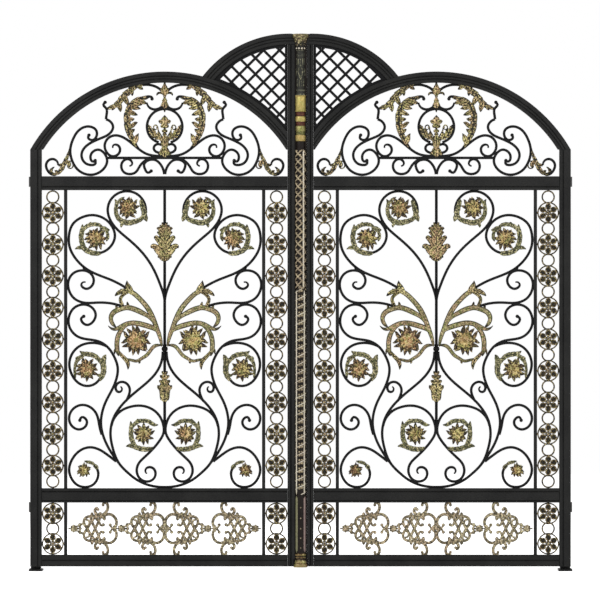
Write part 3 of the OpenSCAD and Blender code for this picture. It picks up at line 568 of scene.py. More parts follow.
# The scroll bars, as points on their grid. A bar is named by its number where it differs.
tympanumBars = dict(
    grid="tympanum",
    tips={1: (0.6, 1), 6: (0.6, 1), 7: (0.7, 1), 12: (1, 0.7)},  # bars with a free, thinner end
    stout={},
    paths=[
        [(-57.6, 18.4), (-30, 18.4), (0, 18.4)],
        [(-35.3, 10.1), (-32.4, 12.6), (-34.8, 16.6), (-38.3, 17.1), (-42.3, 14.1), (-43.3, 9.1),
         (-40.8, 4.2), (-34.8, 2.2), (-28.9, 4.2), (-24.9, 10.1), (-20.9, 14.6), (-16.4, 17.4)],
        [(-13.5, 5.3), (-17, 3.7), (-20, 8.1), (-20.5, 12.1), (-18, 15.1), (-14, 16.6), (-9, 16.1),
         (-5.1, 13.1), (-2.4, 9.1), (-0.4, 2)],
        [(-75.7, 41), (-76.4, 38.2), (-72.4, 36.2), (-68.1, 40.2), (-68.5, 46), (-75.7, 49.8), (-85.3, 46.4),
         (-91.5, 37.3), (-94.4, 25.9), (-92, 14.4), (-85.3, 5.3), (-73.8, 1.5), (-63.3, 5.3), (-57.5, 15.3),
         (-60.4, 23), (-66.2, 26.6), (-71.9, 24.4), (-74.2, 19.2), (-72.6, 15), (-69.9, 15.2)],
        [(-59.6, 73.8), (-61.2, 71.2), (-58.5, 68), (-58, 62.2), (-58.7, 57)],
        [(-58.7, 57), (-53.7, 54.1), (-51.6, 49.8), (-54.7, 43.1), (-63.3, 38.3), (-71.9, 34.5),
         (-79.5, 29.2), (-83.1, 22), (-81, 14.9), (-74.3, 11.3), (-69.4, 12.4), (-69.4, 15.6)],
        [(-51.8, 28.3), (-51.3, 31.1), (-48, 31.6), (-44.6, 27.3), (-47, 21.6), (-52.8, 20.1), (-58.5, 24.9),
         (-59.9, 31.6), (-55.6, 38.8), (-48.9, 40.9), (-41.3, 38.8), (-33.6, 33.5), (-26, 27.3),
         (-18.3, 22.5), (-10.7, 20.6), (0, 20.6)],
        [(-17.8, 73.7), (-15.9, 69.4), (-10.7, 66.9), (-4.9, 68.2), (0, 74.5)],
        [(0, 80.4), (-5.9, 88), (-13.5, 91.1), (-22.1, 91.4)],
        [(-26, 27.3), (-28.2, 30.5)],
        [(-5.9, 34), (-14, 39), (-17.7, 49.8), (-12.5, 62.3), (0, 67.5)],
        [(-3.4, 31.2), (-6.8, 32.2), (-10, 30.6), (-10.9, 27.6), (-9, 24.8), (-5.4, 23.4), (0, 20.6)],
        [(-109, 1.6), (-114.1, 2.6), (-117.1, 6), (-118.6, 10.9), (-116.2, 15.8), (-111.3, 17.2),
         (-107.5, 14.8), (-106.6, 11)],
        [(-26.6, 77.2), (-20.9, 79), (-16, 79.8), (-12.9, 79), (-12.3, 77.4)],
    ],
    balls=[(-59.5, 74), (-75.7, 41.2), (-69.5, 15.8), (-12.6, 77.4), (-13.5, 5.3)],
)
panelBars = dict(
    grid="panel",
    tips={3: (1, 0.55), 9: (1, 0.55), 10: (1, 0.55)},
    stout={0: 1.08},
    paths=[
        [(0, 63), (0, 180), (0, 297.9)],
        [(0, 180), (-0.9, 192.7), (-4.3, 203.2), (-11.9, 220.4), (-23.4, 236.7), (-38.7, 251), (-49.5, 261),
         (-55.3, 270.4), (-56.9, 278), (-54.4, 287.4), (-47.3, 294.4), (-37.8, 296.9), (-28.2, 294.4),
         (-21.3, 287.4), (-18.7, 277.8)],
        [(-35.9, 198.4), (-53.1, 208), (-77, 218.5), (-88.5, 229), (-95.2, 242.4), (-95.7, 251),
         (-91.4, 264.4), (-81.8, 271.1), (-71.3, 273), (-59.8, 269.2), (-53.1, 262.5), (-49.7, 252),
         (-52.1, 244.3), (-57.9, 238.1), (-64.6, 235.2)],
        [(-43.5, 182.1), (-52.1, 184.5), (-67.4, 185.5), (-80.8, 185.5), (-90.4, 189.8), (-95.7, 198.4),
         (-96.1, 207), (-91.4, 214.7), (-82.7, 217.7), (-75.1, 215.6), (-70.8, 208), (-73.2, 201.7),
         (-78, 199.3), (-82, 201), (-83.3, 203.2), (-82, 205.6), (-78.9, 205.9)],
        [(-81, 171.6), (-83.4, 169.4), (-81.8, 165.4), (-77, 163.2), (-71.3, 166.8), (-68.9, 173.5),
         (-72.2, 180.2), (-80.8, 183.6), (-90.4, 180.2), (-95.2, 172.6), (-95.7, 163.4), (-93.3, 157.7),
         (-86.6, 151.5), (-77, 148.8), (-67.4, 147.2), (-57.9, 141.9), (-50.2, 130.9), (-46.9, 120.4),
         (-47.8, 110.8), (-51.2, 101.2), (-58.8, 86.4), (-62.7, 74.4), (-63.6, 64.9), (-62.2, 55.3),
         (-57.9, 43.8), (-51.2, 32.4), (-45.5, 24.7)],
        [(-57.9, 141.7), (-65, 144.4), (-73.7, 145.2), (-84.4, 142.3), (-92.3, 134.5), (-95.2, 123.7),
         (-92.6, 113.3), (-86.5, 105.5), (-78, 102.2), (-70.2, 104), (-64.6, 109.8)],
        [(-84.7, 67.8), (-82.3, 71.1), (-78, 67.8), (-78.9, 62), (-85.6, 58.7), (-93.3, 63), (-95.4, 70.6),
         (-91.4, 79.2), (-82.7, 83.2), (-73.2, 80.2), (-67.4, 72.5), (-65.3, 63), (-62.8, 53.4)],
        [(-48.5, 26.6), (-57, 33.2), (-66.1, 38.9), (-75.3, 40.8), (-85.3, 37), (-92.9, 27.8), (-95.4, 18.6),
         (-92.9, 9.4), (-86.8, 2.9), (-79.9, 1.1), (-72.3, 2.9), (-66.9, 10.2), (-66.9, 17.8), (-70.7, 22.4)],
        [(-1.9, 136.6), (-3.3, 126.1), (-8.1, 116.1), (-16.7, 106.5), (-29.2, 96), (-39.7, 86.4),
         (-46.4, 78.3), (-51.2, 69.7), (-53.6, 61.1), (-54, 51.5), (-52.1, 41), (-45.5, 24.7), (-37.8, 16.3),
         (-29.4, 9.4), (-20.2, 4.5), (-10.3, 1.8), (0, 1.1)],
        [(-38.7, 86.9), (-35.9, 92.6), (-34.9, 99.3), (-38.7, 105.1), (-43.5, 106.2), (-47.8, 103.8),
         (-48.9, 99.5), (-46.9, 96.4), (-43.6, 96.8), (-42.6, 99.6), (-44.2, 101.6)],
        [(-53.1, 62.2), (-50.8, 69.1), (-43.2, 77.5), (-34, 81.4), (-25.6, 82.5), (-14.1, 79.8), (-5.7, 72.9),
         (-1.5, 63.8), (-1.1, 55.3), (-4.9, 47.7), (-11, 40), (-20.2, 30.9), (-26.3, 24), (-27.9, 17.1),
         (-26.3, 11.7), (-22.5, 7.9), (-16.4, 6.7), (-11, 9.4), (-9.1, 14.8), (-11, 19.4), (-15.2, 21),
         (-18.6, 19.4), (-19.3, 16.8), (-17.6, 14.4)],
        [(-80, 217.3), (-81, 221.5)],
    ],
    balls=[(-80.8, 171.8), (-84.7, 67.8), (-41.7, 180.7)],
)
scrollBar = dict(wide=0.0162, deep=0.014, ball=(0.0108, 0.009), stagger=0.0004)
panelKnots = dict(
    balls=[((0, 139.2), (0.0195, 0.0125)), ((0, 86.2), (0.0105, 0.0105))],  # spot, then radius and depth
    collars=[(0, 142.8), (0, 135.4)], collar=(0.0085, 0.0065, 0.019, 24),
)


def makeScrolls(plan, name, extra=None):
    grid = grids[plan["grid"]]
    bm = bmesh.new()
    for number, points in enumerate(plan["paths"]):
        shift = middleY + (number % 3 - 1) * scrollBar["stagger"]
        wide = scrollBar["wide"] * plan["stout"].get(number, 1)
        addBar(bm, onGrid(points, grid), wide, scrollBar["deep"], y=shift,
               tips=plan["tips"].get(number, (1, 1)))
    for x, z, _ in onGrid(plan["balls"], grid):
        addBall(bm, x, z, *scrollBar["ball"])
    if extra:
        extra(bm, grid)
    foldOver(bm)
    makePair(bm, name, "scroll_iron", "scrollIron")


def addKnots(bm, grid):
    # The forged knot where the bars meet on the centreline, and the little drop under the bud.
    for spot, size in panelKnots["balls"]:
        x, z, _ = onGrid([spot], grid)[0]
        addBall(bm, x, z, *size)
    for x, z, _ in onGrid(panelKnots["collars"], grid):
        addRing(bm, x, z, *panelKnots["collar"])


makeScrolls(tympanumBars, "tympanum_scrolls")
makeScrolls(panelBars, "panel_scrolls", addKnots)

# Cast leaves, as points with their half width on their grid. Leaves that share lobes, groove or lift are
# in one group.
tympanumLeaves = dict(
    grid="tympanum", thick=0.0112, broad=1.06,
    mirrored=[
        # the long leaf under the arch
        (dict(lobes=7, cut=0.16), [
            [(-18.6, 91.6, 0.6), (-24.6, 90.8, 1.8), (-30.6, 88.6, 2.8), (-36.1, 84.6, 3.3),
             (-41.1, 79.6, 3.2), (-45.1, 74.8, 2.9), (-49.1, 71.2, 2.4), (-53.6, 69, 1.9),
             (-58.2, 67.8, 0.5)]]),
        (dict(), [
            [(-35.6, 86.4, 2.2), (-32.8, 83.6, 1.4), (-32.6, 80.2, 0.3)],
            [(-41.8, 80, 2.4), (-38.6, 75.8, 2.0), (-36.6, 70.9, 0.3)],
            [(-47.2, 74, 2.4), (-45, 69.4, 1.9), (-44.2, 64.2, 0.3)],
            [(-51.1, 71.4, 1.8), (-51.4, 68.4, 1.3), (-53, 66, 0.3)],
            [(-27.4, 89.6, 1.7), (-24, 88.4, 1.3), (-21.4, 86.8, 0.3)]]),
        # the broad leaf beside the ring
        (dict(lobes=7, cut=0.1, groove=0.5), [
            [(-24, 25.6, 0.5), (-27.4, 29.4, 1.4), (-30.4, 33.9, 2.4), (-33.4, 39.5, 2.9), (-35.8, 44.8, 3.2),
             (-37.2, 52, 3.3), (-37.6, 58, 3.3), (-37, 62.7, 3.3), (-35, 68.4, 3.2), (-31.6, 73, 2.9),
             (-26.9, 76.3, 2.5), (-20.9, 78, 1.9), (-15.5, 79, 0.9)]]),
        (dict(lift=(0.002, 0)), [
            [(-33.6, 71.2, 2.4), (-29.6, 69, 2.0), (-26.6, 68.2, 1.1), (-23.8, 67.4, 0.3)],
            [(-36, 65.4, 2.2), (-31.6, 63, 1.7), (-26.8, 61.2, 0.3)],
            [(-36.6, 57.4, 2.0), (-32.6, 57, 1.3), (-30, 57.6, 0.3)],
            [(-36.8, 50.4, 2.2), (-32.6, 50.8, 1.9), (-29.2, 53.2, 1.1), (-26.8, 53.8, 0.3)],
            [(-31.4, 74.6, 2.2), (-26.6, 72.8, 1.8), (-22.4, 71.4, 0.3)],
            [(-27.6, 76.4, 1.8), (-22.6, 74.4, 1.8), (-17.4, 72.8, 0.3)]]),
        (dict(), [[(-36, 44.2, 2.1), (-32.6, 45.4, 1.5), (-29.8, 47.4, 0.3)]]),
        (dict(lift=(0.003, 0.001)), [
            [(-32, 32, 1.6), (-29.8, 35.2, 2.5), (-28.2, 39, 1.6), (-25.9, 43, 0.3)]]),
        # the corner leaf beside the springing
        (dict(lobes=7, cut=0.14), [
            [(-94.8, 28.6, 0.8), (-96.4, 22.2, 1.5), (-98.6, 16.9, 2.1), (-100.7, 12.2, 2.4),
             (-102.8, 7.8, 2.2), (-106, 4, 1.8), (-110.2, 2.4, 1.5), (-113.6, 4.4, 1.1), (-114.2, 8, 0.4)]]),
        (dict(), [
            [(-101.4, 11.6, 1.0), (-104, 11.4, 1.2), (-106.4, 10.2, 0.4)],
            [(-105, 3.8, 1.0), (-107.6, 4.8, 1.1), (-110.2, 5.8, 0.4)],
            [(-112.4, 4.2, 1.0), (-112.6, 7, 1.0), (-109.8, 9.4, 0.3)],
            [(-98.6, 16, 1.3), (-96, 12.4, 1.9), (-95.6, 8.6, 0.6)]]),
        # upper bundle, left side
        (dict(lift=(0.001, 0.002)), [[(0.3, 80.2, 0.8), (-1.9, 84.6, 1.6), (-3.6, 88.6, 0.3)]]),
        (dict(lift=(0.003, 0.003)), [[(0.3, 80.2, 0.8), (-1.2, 85.8, 1.4), (-1.7, 91, 0.3)]]),
        (dict(), [[(0, 79.8, 0.7), (-3.4, 83.2, 1.0), (-6.2, 83.2, 1.0), (-8, 80.6, 0.3)]]),
        (dict(lift=(0.003, 0)), [[(-0.2, 78.4, 1.0), (-1.2, 73, 1.6), (-4.4, 68.4, 0.7)]]),
        # palmette, left side
        (dict(lift=(0.003, 0.001)), [
            [(0.4, 53, 1.4), (-2.8, 54.4, 1.9), (-6.4, 55.2, 0.3)],
            [(-4.2, 37, 1.1), (-6, 41.4, 1.3), (-6, 45.8, 0.3)],
            [(-8.2, 39.4, 1.2), (-10.2, 43.8, 1.4), (-11, 48.2, 0.3)]]),
        (dict(lift=(0.002, 0.001)), [
            [(0.4, 52.4, 1.4), (-2, 50.4, 1.8), (-4.2, 49.4, 0.4)],
            [(0.3, 47.4, 1.1), (-1.2, 45.4, 1.4), (-2.8, 44.4, 0.4)]]),
        (dict(), [
            [(0.4, 40, 0.7), (-1, 42, 1.0), (-2.4, 42.2, 0.3)],
            [(-0.4, 29.4, 1.0), (-3.2, 25.4, 1.4), (-5, 22.2, 1.2), (-6.4, 24.2, 0.4)]]),
        (dict(lobes=6, cut=0.35, groove=0.5), [
            [(-0.7, 33.4, 1.2), (-3.6, 36.8, 2.2), (-8.8, 39.8, 3.2), (-13.2, 44.8, 2.8), (-16, 51.8, 0.5)]]),
        (dict(lift=(0.002, 0)), [
            [(0.3, 25.8, 1.4), (-1.4, 31.4, 1.9), (-3, 38.2, 0.5)],
            [(0, 27.4, 1.2), (-1.6, 22.8, 1.4), (-3.8, 18.2, 0.6)]]),
    ],
    centred=[
        (dict(lift=(0.003, 0)), [
            [(0, 80, 1.0), (0, 85.8, 1.9), (0, 90.4, 1.3), (0, 95.4, 0.3)],
            [(0, 52.2, 1.8), (0, 55.8, 2.7), (0, 58.4, 1.5), (0, 61.4, 0.3)]]),
        (dict(lift=(0.002, 0)), [[(0, 79.4, 1.5), (0, 75.4, 2.2), (0, 71.4, 2.6), (0, 67.6, 1.6)]]),
        (dict(), [
            [(0, 69.4, 1.2), (0, 67, 1.0), (0, 63.8, 0.2)],
            [(0, 38.4, 1.0), (0, 46.4, 1.0), (0, 53.4, 1.2)]]),
        (dict(lift=(0.001, 0)), [
            [(0, 24.8, 1.6), (0, 30.4, 2.4), (0, 37, 2.2), (0, 42.4, 0.9)],
            [(0, 26.8, 1.6), (0, 22.4, 1.9), (0, 17.8, 0.8)]]),
    ],
    rings=[(0, 79.8, 1.6), (0, 25.2, 2.2)],
    beads=[(0, 54, 1.3), (0, 42.6, 1.0), (-2, 75.8, 0.8), (-3.8, 23.2, 1.3), (-7.7, 49, 0.9)],
    volutes=[
        [(-1.2, 37.4), (-4.2, 42), (-6.6, 46.6), (-7.2, 49.6), (-8.6, 51.2), (-10.6, 50.4), (-11, 48.2),
         (-9.4, 46.8), (-7.6, 47.8)],
        [(-97, 14.4), (-93.6, 15), (-91.6, 11.4), (-93, 8.2), (-96, 8.2), (-97.2, 11)],
    ],
)
panelLeaves = dict(
    grid="panel", thick=0.0112, broad=1.16,
    mirrored=[
        # hub, first leaf and its lobes
        (dict(groove=0.1, tone=2), [
            [(-3, 141.2, 0.9), (-4, 148.2, 1.5), (-7.2, 158.2, 1.9), (-11.4, 169.2, 2.1), (-17.2, 180.2, 2.1),
             (-24.2, 188.6, 2.0), (-31.4, 195, 1.9), (-37.2, 199.6, 1.3), (-37.6, 207.6, 0.3)]]),
        (dict(lift=(0.002, 0)), [
            [(-31, 193.4, 1.6), (-34.6, 198.2, 2.5), (-36.4, 201.8, 1.7), (-37.8, 207.8, 0.2)]]),
        (dict(), [
            [(-33.4, 196.6, 1.6), (-39.8, 197.4, 1.9), (-45, 195.8, 1.6), (-49.8, 192, 0.4)],
            [(-41.4, 197.2, 0.9), (-42.8, 198.2, 0.7), (-44.2, 199.6, 0.2)],
            [(-34.8, 196.4, 1.2), (-41, 193.6, 1.4), (-43.9, 189.6, 1.4), (-43, 184.6, 1.4),
             (-41, 180.8, 1.2)]]),
        # second leaf
        (dict(groove=0.1, tone=2), [
            [(-5.8, 156.2, 0.8), (-10, 164.6, 1.3), (-15, 170.6, 1.6), (-21.4, 174.8, 2.1),
             (-29.4, 178.6, 2.2), (-37.2, 180.4, 2.1), (-44.8, 178.8, 2.1), (-50.8, 175.6, 2.1),
             (-53.5, 170.8, 1.8), (-52.4, 165.2, 1.5), (-48, 160.8, 0.4)]]),
        (dict(), [[(-45.4, 178.2, 1.1), (-48, 180.8, 1.0), (-48.4, 183.6, 0.3)]]),
        # third leaf
        (dict(groove=0.1, tone=2), [
            [(-4.2, 150.2, 1.0), (-7.4, 157.4, 1.9), (-14.4, 161.2, 2.2), (-21.4, 163.4, 2.2),
             (-29.4, 165, 2.1), (-37.2, 164.2, 2.0), (-44.8, 160.8, 1.7), (-49.6, 159, 1.3),
             (-56.6, 162.6, 0.3)],
            [(-35, 164.6, 1.3), (-41.8, 159.8, 1.7), (-45.8, 153.6, 2.0), (-47.5, 146.6, 2.0),
             (-47.4, 139.2, 1.8), (-45.8, 131.8, 0.4)],
            [(-38.6, 128.8, 1.0), (-33.4, 128, 1.2), (-28.4, 127.2, 1.3), (-23, 129.6, 1.4), (-18, 133, 1.5),
             (-14.4, 137.4, 1.5), (-10.8, 141.4, 1.5), (-2.8, 142.6, 0.7)]]),
        (dict(), [
            [(-46.8, 137.6, 1.1), (-42, 131.8, 1.6), (-37.8, 127, 1.7), (-36.8, 118.4, 0.3)],
            [(-47, 141.2, 0.8), (-49.6, 137.8, 0.9), (-49.8, 133.6, 0.2)],
            [(-26, 128, 0.9), (-25.2, 126.2, 0.9), (-25.8, 124.4, 0.2)]]),
        (dict(lift=(0.002, 0)), [[(-34.6, 179.6, 1.0), (-36.6, 183, 1.1), (-37.4, 186.6, 0.2)]]),
        # leaf bunch, left side
        (dict(lift=(0.002, 0)), [
            [(-0.2, 260.4, 0.9), (-1.6, 263.8, 1.0), (-2.8, 266, 0.3)],
            [(-0.2, 257, 1.1), (-2.8, 261, 1.3), (-5, 263.2, 0.3)],
            [(-0.2, 253.4, 1.3), (-3.6, 257.4, 1.7), (-6.2, 259.8, 1.1), (-8.1, 259.2, 0.3)],
            [(-0.2, 249.6, 1.2), (-3.6, 253.2, 1.6), (-6, 255.6, 1.1), (-7.8, 255.2, 0.3)],
            [(-0.2, 245.8, 1.3), (-3.4, 249.4, 1.6), (-5.8, 251.8, 0.3)],
            [(-0.2, 237, 1.3), (-4.2, 240.4, 1.6), (-7.4, 243.4, 0.3)],
            [(-0.2, 231.2, 1.4), (-4.8, 234.2, 2.0), (-8.4, 237.8, 1.7), (-10.6, 237.2, 0.3)]]),
        (dict(lift=(0.003, 0)), [
            [(-0.2, 240.2, 1.5), (-4, 244.8, 2.0), (-7, 249, 1.9), (-9, 250.8, 1.3), (-10.3, 249.2, 0.4)],
            [(-0.2, 232.4, 1.6), (-5.2, 236.8, 2.3), (-9.4, 241, 2.2), (-12, 241.9, 1.5),
             (-13.6, 239.8, 0.4)]]),
        (dict(), [
            [(-0.2, 231, 1.2), (-3.4, 232.2, 1.5), (-6.4, 234.4, 0.3)],
            [(-0.2, 228.2, 1.0), (-3, 229.4, 1.3), (-5.2, 231.8, 1.2), (-6.7, 230.2, 0.3)]]),
        # lower bud, left side
        (dict(lift=(0.002, 0)), [
            [(0, 112.4, 0.9), (-1.6, 115.2, 1.0), (-2.8, 117.2, 0.3)],
            [(0, 108.2, 1.0), (-2.6, 111.2, 1.3), (-4.9, 112.8, 0.3)],
            [(0, 103.4, 1.2), (-3, 106.2, 1.4), (-5.8, 107.6, 0.3)],
            [(-1.8, 96.4, 1.2), (-4.5, 99.8, 1.7), (-7.4, 102.8, 0.3)],
            [(-0.8, 88.4, 0.9), (-2.5, 93.6, 1.5), (-4.6, 99.6, 0.5)]]),
        (dict(lift=(0.003, 0)), [[(-0.8, 97.6, 1.2), (-2.6, 101.4, 1.6), (-4.2, 104.8, 0.3)]]),
    ],
    centred=[
        (dict(lobes=7, cut=0.3, lift=(0.003, 0.001)), [
            [(0, 230.6, 1.4), (0, 238.2, 2.4), (0, 246.2, 2.2), (0, 253.2, 1.8), (0, 260.2, 1.5),
             (0, 267.2, 0.4)]]),
        (dict(), [[(0, 233.2, 1.4), (0, 229.6, 1.8), (0, 225.6, 0.5)]]),
        (dict(lobes=4, cut=0.2, lift=(0.002, 0)), [
            [(0, 99, 2.2), (0, 106.2, 2.4), (0, 113, 1.6), (0, 119.4, 0.4)]]),
        (dict(sweep=0.2, lift=(0.001, 0)), [
            [(0, 86.6, 2.8), (0, 88.4, 3.6), (0, 92, 4.0), (0, 97, 4.6), (0, 101, 4.5), (0, 104, 1.6)]]),
    ],
    rings=[(0, 232.6, 1.5), (0, 88, 2.6)],
    beads=[],
    volutes=[],
)
leafTrim = dict(beadDeep=0.0115, volute=(0.0084, 0.011), ringRadius=0.55, ringWall=0.8, ringDeep=0.02)

# A dense flower: tiers of pointed petals, each (petals, from, to, half width), strewn with studs.
flower = dict(
    tiers=((12, 0.3, 1.0, 0.13), (12, 0.16, 0.78, 0.125), (9, 0.04, 0.5, 0.13)),
    thick=0.0046, ridge=-0.6, heart=0.14, high=0.0118, slope=0.008,
    swing=0.16, bend=0.2, reach=(0.86, 1.06),               # how unevenly the petals are set
    base=0.001, tierRise=0.003, tipRise=0.0026, tipPlay=0.0016,
    studs=((6, 0.17), (9, 0.42)), stud=(0.045, 0.075),   # how many and how far out; smallest and largest
    studSwing=0.3, studPlay=0.04,
)
panelStar = dict(
    spot=(-28.3, 147.4), radius=16.2, seed=4,
    tiers=((14, 0.3, 1.0, 0.115), (14, 0.16, 0.8, 0.11), (12, 0.08, 0.56, 0.1), (8, 0.03, 0.34, 0.1)),
)


def addLeaves(bm, plan, groups):
    for settings, paths in groups:
        for points in paths:
            path = onGrid(points, grids[plan["grid"]]) * (1, 1, plan["broad"])
            path[-1, 2] *= 0.5
            addLeaf(bm, path, plan["thick"], **settings)


def addFlower(bm, x, z, radius, seed, tiers=flower["tiers"]):
    rnd, swing = random.Random(seed), flower["swing"]
    small = bmesh.new()
    for level, (petals, inner, outer, half) in enumerate(tiers):
        for i in range(petals):
            turn = 2 * math.pi * (i + 0.5 * (level % 2) + rnd.uniform(-swing, swing)) / petals
            bend = turn + rnd.uniform(-flower["bend"], flower["bend"])
            reach = outer * rnd.uniform(*flower["reach"])
            points = [
                (x + radius * r * math.cos(a), z + radius * r * math.sin(a), radius * w)
                for r, a, w in (
                    (inner, turn, half * 0.7), ((inner + reach) * 0.5, turn, half),
                    (reach * 0.86, bend, half * 0.55), (reach, bend, half * 0.1))
            ]
            low = flower["base"] + flower["tierRise"] * level
            for front in (1, -1):
                tip = low + flower["tipRise"] + rnd.uniform(0, flower["tipPlay"])
                addLeaf(small, points, flower["thick"], step=radius * 0.09, sides=10,
                        groove=flower["ridge"], sweep=0.1, lift=(front * low, front * tip))
    addBall(small, x, z, radius * flower["heart"], flower["high"], sides=8)
    for count, share in flower["studs"]:
        for i in range(count):
            turn = 2 * math.pi * (i + rnd.uniform(-flower["studSwing"], flower["studSwing"])) / count
            out = radius * (share + rnd.uniform(-flower["studPlay"], flower["studPlay"]))
            size = radius * rnd.uniform(*flower["stud"])
            for front in (1, -1):
                addBall(small, x + out * math.cos(turn), z + out * math.sin(turn), size, size * 1.2,
                        y=middleY - front * (flower["high"] - flower["slope"] * share), sides=6)
    pour(bm, small, 1)


def makeLeaves(plan, name, star=None):
    grid = grids[plan["grid"]]
    bm = bmesh.new()
    addLeaves(bm, plan, plan["mirrored"])
    for x, z, r in onGrid(plan["beads"], grid) if plan["beads"] else ():
        addBall(bm, x, z, r, leafTrim["beadDeep"])
    for points in plan["volutes"]:
        addBar(bm, onGrid(points, grid), *leafTrim["volute"], step=0.004, tips=(0.8, 0.7))
    if star:
        x, z, _ = onGrid([star["spot"]], grid)[0]
        addFlower(bm, x, z, star["radius"] * grid[2], star["seed"], star["tiers"])
    foldOver(bm)
    addLeaves(bm, plan, plan["centred"])
    for x, z, r in onGrid(plan["rings"], grid):
        radius, wall = r * leafTrim["ringRadius"], r * leafTrim["ringWall"]
        addRing(bm, x, z, radius, wall, leafTrim["ringDeep"], 20, sides=8)
    makePair(bm, name, "gilt_castings", "giltCasting", "flowerCasting", "stemCasting")


makeLeaves(tympanumLeaves, "tympanum_leaves")
makeLeaves(panelLeaves, "panel_leaves", panelStar)

# Flowers, as a place and radius, and the wreaths of narrow leaves around them, on the panel's grid.
rosettes = dict(
    thick=0.0095, seed=20, broad=1.4, wider=0.0024, tip=0.001,
    flowers=[(-36.8, 280.4, 12.4), (-68.9, 249.9, 12.6), (-77.4, 118.8, 12.8), (-21, 54.4, 11.6),
             (-80.8, 17.8, 8)],
    wreaths=[
        # round the top flower
        [(-20.8, 276, 1.0), (-19.4, 271.4, 1.5), (-17.8, 266.4, 0.4)],
        [(-24.2, 288.9, 1.2), (-22.6, 284.6, 1.8), (-21.2, 280, 2.0), (-20.4, 275.6, 1.8),
         (-21.6, 271.4, 1.4), (-24.6, 268.6, 1.5), (-31.2, 266.2, 1.8), (-36, 265.4, 1.9),
         (-41.6, 266.6, 1.7), (-46, 269.8, 1.5), (-48.4, 275, 1.3), (-48.6, 280.2, 1.2), (-48, 285, 1.0),
         (-50, 289, 0.3)],
        [(-39.8, 265.6, 0.9), (-42.6, 264, 1.0), (-43.4, 260.4, 0.3)],
        [(-47.8, 283.2, 0.7), (-44.8, 287.8, 0.9), (-39.8, 291.2, 0.3)],
        # round the upper outer flower
        [(-63, 235.6, 1.1), (-68.4, 234.8, 1.7), (-74.4, 236, 1.7), (-79.8, 239.2, 1.7), (-82.4, 244.8, 1.6),
         (-83.4, 251.6, 1.6), (-82.4, 257.6, 1.4), (-82.2, 264, 0.3)],
        [(-78.2, 238.2, 1.0), (-83.4, 240.6, 1.3), (-89.8, 238.8, 0.4)],
        [(-81.8, 256.6, 0.9), (-79, 260.8, 1.3), (-74.4, 263.2, 1.3), (-69, 263.8, 1.3), (-64.8, 262.8, 0.9),
         (-61.4, 260.6, 0.3)],
        [(-75, 262.8, 0.7), (-74.2, 264.6, 0.8), (-73.4, 266.2, 0.2)],
        [(-64.8, 258.6, 0.9), (-61.4, 259.8, 1.5), (-58.2, 258.2, 1.4), (-54.8, 258.6, 0.3)],
        [(-59.8, 258.6, 0.8), (-57.2, 254.6, 1.0), (-57, 250.2, 0.9), (-58.4, 246.6, 0.3)],
        # round the lower outer flower
        [(-65.8, 107.2, 0.9), (-62.6, 111.6, 1.6), (-61, 117.6, 1.9), (-61.4, 124.4, 1.9),
         (-60.6, 129.8, 1.4), (-58.4, 133.6, 0.3)],
        [(-62.4, 123.6, 1.0), (-65.8, 128.6, 1.4), (-70, 132.2, 1.6), (-75.4, 133.8, 1.6),
         (-80.8, 134.6, 1.2), (-85, 137.4, 0.3)],
        [(-79.4, 133.8, 0.9), (-84, 131, 1.3), (-87.8, 126.8, 1.1), (-89.6, 121.2, 0.8), (-89.6, 114.8, 0.8),
         (-89, 109.4, 0.3)],
        [(-84.8, 130.6, 0.9), (-87, 130.2, 0.9), (-89.4, 129.6, 0.2)],
        [(-62, 115.2, 0.7), (-65, 112.8, 0.9), (-68.8, 114.6, 0.3)],
        # round the lower inner flower
        [(-10.6, 40.2, 1.0), (-17, 38.9, 1.6), (-23.8, 39.4, 1.7), (-29.8, 41.4, 1.6), (-33.4, 42.4, 1.3),
         (-38.8, 41.6, 0.4)],
        [(-28.4, 41.6, 1.0), (-32, 46.6, 1.6), (-33.6, 53.4, 1.5), (-33.4, 60.6, 1.3), (-34, 67.2, 0.3)],
        [(-33.2, 59.6, 0.8), (-30.4, 63.6, 1.2), (-26.8, 66.4, 1.3), (-21.4, 67.4, 1.3), (-16, 66.6, 1.3),
         (-11.4, 63.8, 1.1), (-6.2, 63.4, 0.3)],
        [(-27, 66, 0.7), (-27, 67.8, 0.7), (-26.2, 69.4, 0.2)],
        # beside the corner flower
        [(-66.8, 18.4, 0.8), (-68.8, 21.6, 1.2), (-71.2, 23.8, 0.3)],
        [(-70.2, 22.6, 0.8), (-72.6, 25, 1.0), (-76, 26, 0.9), (-80.4, 27.2, 0.3)],
    ],
)


def makeRosettes():
    bm = bmesh.new()
    for number, (x, z, r) in enumerate(onGrid(rosettes["flowers"], grids["panel"])):
        addFlower(bm, x, z, r, rosettes["seed"] + number)
    for points in rosettes["wreaths"]:
        path = onGrid(points, grids["panel"]) * (1, 1, rosettes["broad"]) + (0, 0, rosettes["wider"])
        path[-1, 2] = rosettes["tip"]
        addLeaf(bm, path, rosettes["thick"], sides=12, lobes=max(2, len(points)), cut=0.1, sweep=0.4,
                rib=0.25)
    foldOver(bm)
    makePair(bm, "rosettes", "gilt_castings", "wreathCasting", "flowerCasting")


makeRosettes()

# The ring chains at the panel's sides: large rings with six-petal rosettes, joined by small plain rings.
chain = dict(
    large=9, largeRadius=0.0655, largeWall=0.0086, smallRadius=0.0405, smallWall=0.0096, deep=0.016,
    petals=6, petalReach=(0.018, 0.0515), petalHalf=0.0142, petalBar=(0.0084, 0.017), petalThick=0.0035,
    hub=(0.0135, 0.0075, 0.0165), boss=(0.0092, 0.006), bossRise=0.0055, joint=(0.0065, 0.0085),
)


